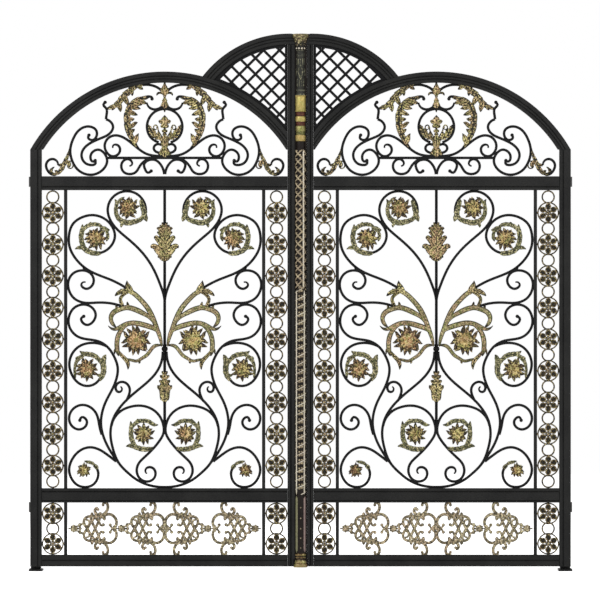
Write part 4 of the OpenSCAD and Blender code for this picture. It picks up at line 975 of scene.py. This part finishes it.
def addLargeRing(bm, x, z):
    wall, half = chain["largeWall"], chain["petalHalf"]
    low, high = chain["petalReach"]
    addRing(bm, x, z, chain["largeRadius"] - wall / 2, wall, chain["deep"], 56)
    for i in range(chain["petals"]):
        a = math.radians(30 + 60 * i)
        out, beside = Vector((math.cos(a), math.sin(a))), Vector((-math.sin(a), math.cos(a)))

        def at(r, s, w=0):
            return x + out.x * r + beside.x * s, z + out.y * r + beside.y * s, w

        for side in (1, -1):
            edge = [at(low, 0), at(low + 0.008, side * half * 0.66), at((low + high) * 0.52, side * half),
                    at(high - 0.004, side * half * 0.72), at(high + 0.0045, 0)]
            addBar(bm, edge, *chain["petalBar"], step=0.0055, sides=8)
        spine = [at(low + 0.002, 0, 0.001), at(low + 0.012, 0, half * 0.8), at(high - 0.008, 0, half * 0.8),
                 at(high + 0.001, 0, 0.001)]
        addLeaf(bm, spine, chain["petalThick"], step=0.005, sides=8, groove=0.0, sweep=0)
    addRing(bm, x, z, *chain["hub"], 24, sides=8)
    for front in (1, -1):
        addBall(bm, x, z, *chain["boss"], y=middleY - front * chain["bossRise"])


def makeChains():
    radius, smallRadius, wall = chain["largeRadius"], chain["smallRadius"], chain["smallWall"]
    low, high = lowerRail[1] + gap + smallRadius, transomRail[0] - gap - smallRadius
    pitch = (high - low) / chain["large"]
    ends = [bottomTop + gap + radius, lowerRail[0] - gap - radius]
    spots = [(x, z) for x in (stripBox[0].x + radius, stripBox[1].x - radius)
             for z in [low + (i + 0.5) * pitch for i in range(chain["large"])] + ends]
    ring, bm = bmesh.new(), bmesh.new()
    addLargeRing(ring, 0, 0)
    stamp(bm, ring, *[Matrix.Translation((x, 0, z)) for x, z in spots])
    for x, z in spots:
        for side in (1, -1):
            addBall(bm, x + side * radius, z, *chain["joint"], sides=8)
    for x in (stripBox[0].x + radius, stripBox[1].x - radius):
        for z in [low + i * pitch for i in range(chain["large"] + 1)] + [sum(ends) / 2]:
            addRing(bm, x, z, smallRadius - wall / 2, wall, chain["deep"], 44)
    makePair(bm, "ring_chains", "ring_castings", "ringCasting")


makeChains()

# The bottom castings: two units a side, each mirrored over its own level line.
filigree = dict(
    start=0.4, step=47.4, deep=0.0135, leafBroad=1.2, leafThick=0.0082, ballDeep=0.0085,
    levelThick=0.0078, knotDeep=0.0092, middleThick=0.009,
    strand=0.00174,                         # metres for a width of 1
    bars=[  # path and width
        ([(12.6, 3.8), (14.8, 4.8), (16.8, 6)], 8.5),
        ([(18.8, 0.6), (16.8, 4), (16.2, 7.6), (17.6, 10.4), (20.2, 11.9), (24.2, 12.4), (29.2, 12.6),
          (32.8, 11.6), (35.6, 10.8)], 10),
        ([(17.8, 3), (20.2, 3), (21.6, 5.6), (20.4, 8.4), (18.2, 8.4)], 7.5),
        ([(18.2, 2.6), (19.5, 0), (21.4, 3), (24, 7), (26.4, 10.6), (27.8, 13)], 9),
        ([(22.6, 12.2), (23.8, 8), (25.6, 3.8), (27.4, 0), (29.4, -4), (31.2, -8), (32.6, -12)], 10),
        ([(27.8, 12), (30.2, 8.6), (31.6, 6), (33.2, 3.2), (35.3, 3.1)], 8.5),
        ([(35.3, 23.9), (36.6, 26), (38.8, 25.4), (40.1, 22.2), (39.4, 18.4), (36.6, 15), (32.6, 13.4),
          (29, 14.4), (27.2, 17.4), (28, 20), (30.1, 20.6)], 10.5),
        ([(28, 10.4), (29.4, 8.4), (31.6, 8.8), (32.6, 11)], 7),
        ([(34.8, 10.6), (37, 13), (40.9, 14.4), (45.4, 12.8), (48.2, 9), (48.6, 4.6), (46.8, 1),
          (44.4, -0.4)], 10.5),
        ([(42.4, 3.2), (43.6, 1.4), (44.8, -0.4)], 8),
        ([(8.2, 1.4), (10.4, 2.6), (12.6, 2)], 6.5),
    ],
    leaves=[
        [(24.3, 10.6, 1.0), (24.2, 13.6, 1.2), (24.4, 16.4, 0.3)],
        [(33.8, 13.2, 1.1), (35.8, 11.4, 1.4), (36.7, 8, 0.3)],
        [(12.6, 0.6, 0.9), (12.2, 3.4, 1.4), (12.8, 5.6, 0.4)],
        [(6, 0.2, 0.9), (6, 2.2, 1.0), (6, 4.2, 0.2)],
        [(6.3, 0.2, 0.9), (7.7, 1.6, 1.0), (9, 3, 0.2)],
        [(5.7, 0.2, 0.9), (4.3, 1.6, 1.0), (3.1, 2.8, 0.2)],
        [(31.2, 11.6, 0.9), (31.6, 14.2, 1.1), (33.8, 16.1, 0.3)],
        [(45.6, 0, 0.8), (47.2, 2, 1.1), (48.8, 1.6, 0.3)],
    ],
    balls=[(35.3, 23.6, 1.5), (30.2, 19.1, 1.5), (35.5, 3.8, 1.7), (42.4, 3.6, 1.7)],
    level=[(0.2, 0, 0.9), (3.2, 0, 0.7), (7.2, 0, 1.5), (10.2, 0, 0.9), (12.6, 0, 1.3), (14.2, 0, 0.3)],
    knots=[(6, 0, 1.3), (12.5, 0, 1.3), (19.5, 0, 1.3), (27.4, 0, 1.6), (44.8, 0, 1.4), (47.6, 0, 1.3)],
    middle=[(95, 0, 0.9), (97.2, 0, 1.5), (99.4, 0, 0.9)],
)


def makeFiligree():
    grid = grids["casting"]
    unit = bmesh.new()
    for points, wide in filigree["bars"]:
        addBar(unit, onGrid(points, grid), wide * filigree["strand"], filigree["deep"], step=0.005,
               tips=(0.8, 0.8), reach=0.02, sides=10)
    for points in filigree["leaves"]:
        addLeaf(unit, onGrid(points, grid) * (1, 1, filigree["leafBroad"]), filigree["leafThick"], sides=10)
    for x, z, r in onGrid(filigree["balls"], grid):
        addBall(unit, x, z, r, filigree["ballDeep"])
    foldOver(unit, Matrix.Translation((0, 0, 2 * grid[1])) @ Matrix.Scale(-1, 4, (0, 0, 1)))
    addLeaf(unit, onGrid(filigree["level"], grid), filigree["levelThick"], sides=10)
    for x, z, r in onGrid(filigree["knots"], grid):
        addBall(unit, x, z, r, filigree["knotDeep"])
    bm = bmesh.new()
    stamp(bm, unit, *[
        Matrix.Translation(((filigree["start"] + i * filigree["step"]) * grid[2], 0, 0)) for i in range(2)])
    foldOver(bm)
    addLeaf(bm, onGrid(filigree["middle"], grid), filigree["middleThick"], sides=10, sweep=0)
    makePair(bm, "filigree", "ring_castings", "filigreeCasting")


makeFiligree()


# The centre column. Angles are in degrees from the front, and turns in radians. Finishes are numbered as
# each piece lists them.
def columnBox(node):
    return [corner.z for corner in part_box("column_" + node)]


def between(low, high, foot, head):
    # Rows that end in a height: first those measured from the foot, then those from the head.
    return [(*row, low + z) for *row, z in foot] + [(*row, high + z) for *row, z in head]


def upLine(angle, low, high, radius, step=0.02):
    steps = max(4, round((high - low) / step))
    return steps, lambda t: (np.full_like(t, angle), low + (high - low) * t, np.full_like(t, radius))


def addBead(bm, angle, z, out, radius, tone=0):
    # A small ball on the column, at a distance from its axis.
    addBall(bm, gateX + out * math.sin(angle), z, radius, y=middleY - out * math.cos(angle), sides=8,
            tone=tone)


def addBeadRow(bm, z, count, out, radius, start=0.0, tone=0):
    for i in range(count):
        addBead(bm, 2 * math.pi * (i + start) / count, z, out, radius, tone)


def addPlate(bm, rows, deep, tone=0):
    # A flat plate in the gate's plane, from (left, right, height) rows measured from the column's axis.
    small = bmesh.new()
    count = len(rows) - 1
    bmesh.ops.create_grid(small, x_segments=1, y_segments=count, size=0.5)
    for v in small.verts:
        left, right, z = rows[round((v.co.y + 0.5) * count)]
        v.co = (gateX + (left if v.co.x < 0 else right), middleY - deep / 2, z)
    grown = bmesh.ops.extrude_face_region(small, geom=small.faces[:])["geom"]
    front = [v for v in grown if isinstance(v, bmesh.types.BMVert)]
    bmesh.ops.translate(small, verts=front, vec=(0, deep, 0))
    pour(bm, small, tone)


def addWeb(bm, low, high, left=-0.036, right=0.038):
    # The flat bar through the column, whose right edge narrows the running gap.
    addPlate(bm, [(left, right, low), (left, right, high)], 0.02, tone=1)


def makeColumnPiece(bm, name, node, slot, *tones):
    makePiece(bm, "column_" + name, "left_leaf", tones, ["column_" + node], onColumn=True)


sleeve = dict(
    pitch=0.0492, starts=4, core=0.0305, shell=0.0338,
    ribTop=1.69, firstTurn=0.3,                         # the net is above this height, the ribs are below
    strandEnd=0.004, fineTop=0.006, ribEnd=0.002,
    strand=(0.0092, 0.0062), fine=(0.0062, 0.0062), rib=(0.0105, 0.005), ribRadius=0.0345,
    lowerRibs=(-45, 42, 135, -138), upperRibs=(31, -149),
    bosses=((-14, 0.0098), (16, 0.0088), (72, 0.0062), (166, 0.0095), (-108, 0.0062)),  # angle and radius
    bossOut=0.0295, bossPlace=(0.5, 0.22, 0.18),        # in the cell: middle, wave and step
    bossRows=((0, 1), (0.4, 0.72)),                     # each row's place in the cell and its size
    stud=(0.0315, 0.0058),
)


def spiral(low, high, starts, hand, phase, perTurn=32):
    turns = (high - low) / (sleeve["pitch"] * starts)
    steps = round(turns * perTurn)
    return steps, lambda t: (
        phase + hand * 2 * math.pi * turns * t, low + (high - low) * t, np.full_like(t, sleeve["shell"]))


def makeSleeve():
    low, high = columnBox("sleeve")
    pitch, starts, turn = sleeve["pitch"], sleeve["starts"], sleeve["ribTop"]
    middle, wave, step = sleeve["bossPlace"]
    end, ribEnd = sleeve["strandEnd"], sleeve["ribEnd"]
    bm = bmesh.new()
    addTurned(bm, [(0, low), (sleeve["core"], low), (sleeve["core"], high), (0, high)], 40, tone=1)
    addWeb(bm, low, high)
    for i in range(starts):
        for hand in (1, -1):
            phase = hand * 2 * math.pi * i / starts + sleeve["firstTurn"]
            addAround(bm, spiral(turn + end, high - end, starts, hand, phase), *sleeve["strand"])
    # The fine spirals and the ribs carry the cream finish, their painted highlight.
    for i in range(2):
        line = spiral(low + end, turn + sleeve["fineTop"], 2, 1, math.pi * i)
        addAround(bm, line, *sleeve["fine"], tone=2)
    for angles, bottom, top in ((sleeve["lowerRibs"], low, turn), (sleeve["upperRibs"], turn, high)):
        for angle in angles:
            line = upLine(math.radians(angle), bottom + ribEnd, top - ribEnd, sleeve["ribRadius"])
            addAround(bm, line, *sleeve["rib"], sides=8, tone=2)
    for i in range(int((high - low) / pitch)):
        z = low + (i + 0.5) * pitch
        if z >= turn:
            for part in range(8):
                addBead(bm, math.pi / 4 * part, z + (part % 2) * pitch / 2, *sleeve["stud"])
            continue
        for part, (angle, size) in enumerate(sleeve["bosses"]):
            a = math.radians(angle)
            up = pitch * (middle + wave * math.sin(2 * a) - step * (part % 2))
            for more, share in sleeve["bossRows"]:
                addBead(bm, a, z + up + more * pitch, sleeve["bossOut"], size * share)
    makeColumnPiece(bm, "net", "sleeve", "ring_castings", "netCasting", "columnDark", "netRibHighlight")


shaft = dict(
    radius=0.0305, strapRadius=0.0322, strapThick=0.0072,
    straps=((-50, 0.021, 2), (57, 0.024, 3), (130, 0.021, 2), (-123, 0.024, 3)),  # angle, width and finish
    studAngles=(2, 182), studLevels=(0.383, 0.319, 0.256, 0.2, 0.14), stud=0.005,
)


def makeShaft():
    low, high = columnBox("shaft")
    bm = bmesh.new()
    addTurned(bm, [(0, low), (shaft["radius"], low), (shaft["radius"], high), (0, high)], 40, tone=1)
    addWeb(bm, low, high)
    for angle, wide, tone in shaft["straps"]:
        line = upLine(math.radians(angle), low, high, shaft["strapRadius"])
        addAround(bm, line, wide, shaft["strapThick"], sides=10, tone=tone)
    for angle in shaft["studAngles"]:
        for z in shaft["studLevels"]:
            addBead(bm, math.radians(angle), z, shaft["radius"], shaft["stud"])
    makeColumnPiece(bm, "lower_shaft", "shaft", "scroll_iron",
                    "netCasting", "columnDark", "shaftOlive", "shaftRose")


foot = dict(
    profile=[(0, 0), (0.042, 0), (0.042, 0.016), (0.0405, 0.019), (0.035, 0.02), (0.035, 0.024),
             (0.0372, 0.0255), (0.0365, 0.033), (0.0315, 0.044), (0.0285, 0.05), (0.0285, 0.0545),
             (0.0325, 0.056), (0.0335, 0.0595), (0.0318, 0.0625), (0.0285, 0.0645), (0.0285, 0.067),
             (0.032, 0.0685), (0.0322, 0.081), (0.029, 0.083)],
    head=[(0.029, 0), (0, 0)],
    beadLevel=0.0748, beads=(20, 0.0318, 0.0048), web=(-0.044, 0.0463), webStart=0.0002,
)


def makeFoot():
    low, high = columnBox("foot")
    bm = bmesh.new()
    addTurned(bm, between(low, high, foot["profile"], foot["head"]))
    addBeadRow(bm, low + foot["beadLevel"], *foot["beads"])
    addWeb(bm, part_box("left_meeting_stile")[0].z + foot["webStart"], high, *foot["web"])
    makeColumnPiece(bm, "base", "foot", "gilt_castings", "footCasting", "columnDark")


collar = dict(
    tones=("collarGold", "columnDark", "collarOlive", "collarRed"),
    bands=[  # from, to, greatest radius and finish
        (0.000, 0.047, 0.0290, 1), (0.047, 0.084, 0.0334, 0), (0.084, 0.104, 0.0288, 2),
        (0.104, 0.138, 0.0330, 2), (0.138, 0.164, 0.0290, 3), (0.164, 0.195, 0.0336, 0),
        (0.195, 0.223, 0.0290, 3), (0.223, 0.321, 0.0336, 0),
    ],
    wide=0.03, tall=0.09,                    # a wider band has a stepped edge, a taller one a slight waist
    step=0.0028, waist=0.0006,
    beadLevels=(0.2265, 0.3175), beads=(24, 0.0322, 0.0036),
)


def makeCollar():
    base = columnBox("collar")[0]
    bm = bmesh.new()
    addWeb(bm, base, base + collar["bands"][-1][1])
    for low, high, radius, tone in collar["bands"]:
        inner = radius - collar["step"] if radius > collar["wide"] else radius
        middle = radius - (collar["waist"] if high - low > collar["tall"] else 0.0)
        edge = [(0, 0), (inner, 0), (inner, 0.0015), (radius - 0.0012, 0.004), (radius, 0.008)]
        addTurned(bm, [(r, base + low + z) for r, z in edge] + [(middle, base + low + (high - low) * 0.5)] +
                  [(r, base + high - z) for r, z in reversed(edge)], tone=tone)
    for level in collar["beadLevels"]:
        addBeadRow(bm, base + level, *collar["beads"])
    makeColumnPiece(bm, "bands", "collar", "column_gold", *collar["tones"])


neck = dict(
    profile=[(0, 0), (0.0292, 0), (0.0292, 0.008), (0.0268, 0.012), (0.0268, 0.024), (0.0292, 0.027),
             (0.0292, 0.034), (0.0262, 0.038)],
    head=[(0.0262, -0.05), (0.0242, -0.044), (0.0275, -0.03), (0.0242, -0.008), (0.0282, 0), (0, 0)],
    reeds=12, reedRadius=0.0268, reedStep=0.006,
    upperReed=(-0.09, -0.048), upperSize=(0.0062, 0.005), lowerReed=(0.05, 0.1), lowerSize=(0.0058, 0.006),
    lowerTurn=0.26,
    loops=4, loopRadius=0.0276, loopWide=0.42, loopTop=-0.096, loopTall=0.062, loopSize=(0.0052, 0.0048),
    fanBase=0.1, fanTall=0.05, fanTurn=(0.1, 0.5), fanSize=(0.007, 0.006),
    beads=((-0.092, 0.005), (-0.162, 0.0045), (0.098, 0.0052)),  # below the head or above the foot
    beadOut=0.0274,
)


def makeRelief():
    low, high = columnBox("relief")
    radius, loopRadius = neck["reedRadius"], neck["loopRadius"]
    bm = bmesh.new()
    addWeb(bm, low, high)
    addTurned(bm, between(low, high, neck["profile"], neck["head"]), 40)
    for i in range(neck["reeds"]):
        a = 2 * math.pi * i / neck["reeds"]
        for turn, end, reed, size in ((a, high, neck["upperReed"], neck["upperSize"]),
                                      (a + neck["lowerTurn"], low, neck["lowerReed"], neck["lowerSize"])):
            addAround(bm, upLine(turn, end + reed[0], end + reed[1], radius, neck["reedStep"]), *size)
    for i in range(neck["loops"]):
        a = 2 * math.pi * i / neck["loops"]
        for side in (-1, 1):
            def loop(t, a=a, side=side):
                return (a + side * neck["loopWide"] * np.sin(math.pi * t) ** 0.8,
                        high + neck["loopTop"] - neck["loopTall"] * t, np.full_like(t, loopRadius))
            addAround(bm, (14, loop), *neck["loopSize"])

            def fan(t, a=a, side=side):
                start, spread = neck["fanTurn"]
                return (a + side * (start + spread * t), low + neck["fanBase"] + neck["fanTall"] * t,
                        np.full_like(t, loopRadius))
            addAround(bm, (10, fan), *neck["fanSize"])
        for z, r in neck["beads"]:
            addBead(bm, a, z + (low if z > 0 else high), neck["beadOut"], r)
    makeColumnPiece(bm, "neck", "relief", "scroll_iron", "reliefCasting", "columnDark")


capital = dict(
    profile=[(0, 0), (0.029, 0), (0.0305, 0.004), (0.029, 0.009), (0.0272, 0.011), (0.031, 0.046)],
    head=[(0.0375, -0.036), (0.0435, -0.0235), (0.048, -0.0195), (0.0502, -0.015), (0.0495, -0.007),
          (0.047, -0.003), (0.042, 0), (0, 0)],
    tiers=[  # from, to (below the head if negative), radius, half width, flare and number of leaves
        (0.008, 0.042, 0.0278, 0.0086, 0.006, 9), (0.024, 0.062, 0.0292, 0.009, 0.0105, 9),
        (0.042, -0.016, 0.0325, 0.0088, 0.0145, 10)],
    steps=12, thick=0.0036, curl=2.2, droop=0.03, notches=2.5, notch=0.25,
    rimLevel=-0.0105, rim=(22, 0.0475, 0.0036), beadLevel=0.0105, beads=(10, 0.0275, 0.0068, 0.5, 2),
    web=[(-0.0375, 0.038, 0), (-0.0375, 0.038, 0.044), (-0.0425, 0.0424, 0.064)],
    webHead=[(-0.053, 0.0529, -0.021), (-0.053, 0.0529, -0.0004)], webDeep=0.02,
)


def addColumnLeaf(bm, angle, low, high, radius, half, flare, sides=10):
    # A small upright leaf on the capital, its tip curled outward.
    def place(along, around):
        t = np.rint(along * capital["steps"]) / capital["steps"]
        turn = 2 * math.pi * around
        swell = np.sin(math.pi * np.clip(t * 0.86 + 0.14, 0, 1)) ** 0.7
        wide = half * swell * np.where((t == 0) | (t == 1), 0, 1)
        wide = wide * (1 - capital["notch"] * np.abs(np.cos(capital["notches"] * math.pi * t)))
        u = np.cos(turn) * wide
        body = np.sin(turn) * capital["thick"] * np.where(wide > 0, 1, 0)
        body = body * (1 - 0.5 * np.exp(-((np.cos(turn) / 0.25) ** 2)))
        out = radius + flare * t ** capital["curl"] + body
        z = low + (high - low) * t - np.where(t > 0.8, (t - 0.8) * capital["droop"], 0)
        phi = angle + u / out
        return np.column_stack([gateX + out * np.sin(phi), middleY - out * np.cos(phi), z])

    loft(bm, capital["steps"], sides, place)


def makeCapital():
    low, high = columnBox("capital")
    bm = bmesh.new()
    addTurned(bm, between(low, high, capital["profile"], capital["head"]))
    for tier, (bottom, top, radius, half, flare, count) in enumerate(capital["tiers"]):
        for i in range(count):
            addColumnLeaf(bm, 2 * math.pi * (i + 0.5 * (tier % 2)) / count, low + bottom,
                          top + (low if top > 0 else high), radius, half, flare)
    addBeadRow(bm, high + capital["rimLevel"], *capital["rim"])
    # The lower beads carry the cream finish, their painted highlight.
    addBeadRow(bm, low + capital["beadLevel"], *capital["beads"])
    addPlate(bm, between(low, high, capital["web"], capital["webHead"]), capital["webDeep"], tone=1)
    makeColumnPiece(bm, "crown", "capital", "gilt_castings", "capitalGold", "columnDark", "netRibHighlight")


closingStrip = dict(
    deep=0.024, besideFoot=(0.0464, 0.049), start=0.0002,
    rows=[  # left, right, what the height is measured from, and the height
        (0.0381, 0.049, "foot", 0.0002), (0.0381, 0.049, "foot", 0.006), (0.0381, 0.041, "foot", 0.007),
        (0.0381, 0.041, "capital", -0.006), (0.0381, 0.0515, "capital", 0.044),
        (0.0425, 0.0565, "capital", 0.064), (0.053, 0.06, "head", -0.021), (0.053, 0.06, "head", 0.0004)],
)


def makeClosingStrip():
    # The strip on the right leaf's edge, which widens beside the capital.
    low, high = columnBox("capital")
    levels = dict(foot=columnBox("foot")[1], capital=low, head=high)
    bm = bmesh.new()
    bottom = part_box("right_meeting_stile")[0].z + closingStrip["start"]
    addPlate(bm, [(*closingStrip["besideFoot"], z) for z in (bottom, levels["foot"])], closingStrip["deep"])
    rows = [(left, right, levels[where] + z) for left, right, where, z in closingStrip["rows"]]
    addPlate(bm, rows, closingStrip["deep"])
    makePiece(bm, "right_closing_strip", "right_leaf", ["frameIron"], [])


makeSleeve()
makeShaft()
makeFoot()
makeCollar()
makeRelief()
makeCapital()
makeClosingStrip()

# The CAD nodes that stay, by finish.
frameFinish = dict(
    frameIron=["outer_stile", "meeting_stile", "bottom_rail", "lower_rail", "transom_rail", "arch",
               "crest_arch", "mullions", "post", "foot_flange"],
    scrollIron=["crest_lattice"],
    hingeSteel=["hinge_eyes", "hinge_pins"],
)


def finishFrame():
    for tone, names in frameFinish.items():
        for node in [side + "_" + n for side in ("left", "right") for n in names]:
            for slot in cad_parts[node].material_slots:
                slot.material = finishes[tone]


finishFrame()
print("frame finished")

studio = dict(
    distance=36.0, width=3.6, sensor=36.0, x=1.588, z=1.628, world=0.55,
    floorSize=20, floorColour=(0.82, 0.82, 0.82, 1), floorGlow=0.7,
    aim=(gateX, 0, 1.5),
    lamps=[("Key", (-2.6, -6.0, 5.6), 3.0, 330), ("Fill", (6.4, -5.2, 3.4), 3.5, 150),
           ("Back", (0.2, 6.0, 4.6), 3.5, 260)],  # place, size and power
)


def seenDirectly(tree):
    # 1 for what the camera, a reflection or glass looks at directly.
    path = tree.nodes.new("ShaderNodeLightPath").outputs
    seen = sums(tree, "MAXIMUM", path["Is Camera Ray"], path["Is Glossy Ray"])
    return sums(tree, "MAXIMUM", seen, path["Is Transmission Ray"])


def link(name, data):
    made = bpy.data.objects.new(name, data)
    bpy.context.collection.objects.link(made)
    return made


def makeCamera(scene):
    camera = bpy.data.cameras.new("Front camera")
    camera.sensor_width = studio["sensor"]
    camera.lens = studio["sensor"] * studio["distance"] / studio["width"]
    camera.clip_end = 200
    scene.camera = link("Front camera", camera)
    scene.camera.location = (studio["x"], middleY - studio["distance"], studio["z"])
    scene.camera.rotation_euler = (math.pi / 2, 0, 0)


def makeWorld(scene):
    scene.world = bpy.data.worlds.new("Studio")
    scene.world.use_nodes = True
    tree = scene.world.node_tree
    level = addNode(tree, "MapRange", i0=seenDirectly(tree), i3=studio["world"], i4=1.0)
    fillSocket(tree, tree.nodes["Background"].inputs["Strength"], level.outputs[0])
    fillSocket(tree, tree.nodes["Background"].inputs["Color"], (1, 1, 1, 1))


def makeFloor():
    bm = bmesh.new()
    bmesh.ops.create_grid(bm, x_segments=1, y_segments=1, size=studio["floorSize"],
                          matrix=Matrix.Translation((gateX, 0, 0)))
    mesh = bpy.data.meshes.new("floor")
    bm.to_mesh(mesh)
    bm.free()
    material = bpy.data.materials.new("Pale floor")
    material.use_nodes = True
    tree = material.node_tree
    tree.nodes.remove(tree.nodes["Principled BSDF"])
    glow = addNode(tree, "Emission", Strength=sums(tree, "MULTIPLY", seenDirectly(tree), studio["floorGlow"]))
    flat = addNode(tree, "BsdfDiffuse", Color=studio["floorColour"])
    both = addNode(tree, "AddShader", i0=glow.outputs[0], i1=flat.outputs[0])
    tree.links.new(both.outputs[0], tree.nodes["Material Output"].inputs["Surface"])
    mesh.materials.append(material)
    link("floor", mesh)


def addLamp(name, spot, size, power):
    light = bpy.data.lights.new(name, "AREA")
    light.size, light.energy = size, power
    lamp = link(name, light)
    lamp.location = spot
    lamp.rotation_euler = (Vector(studio["aim"]) - Vector(spot)).to_track_quat("-Z", "Y").to_euler()


def makeStudio():
    scene = bpy.context.scene
    scene.view_settings.view_transform = "Standard"
    makeCamera(scene)
    makeWorld(scene)
    makeFloor()
    for lamp in studio["lamps"]:
        addLamp(*lamp)


makeStudio()
print("studio made")
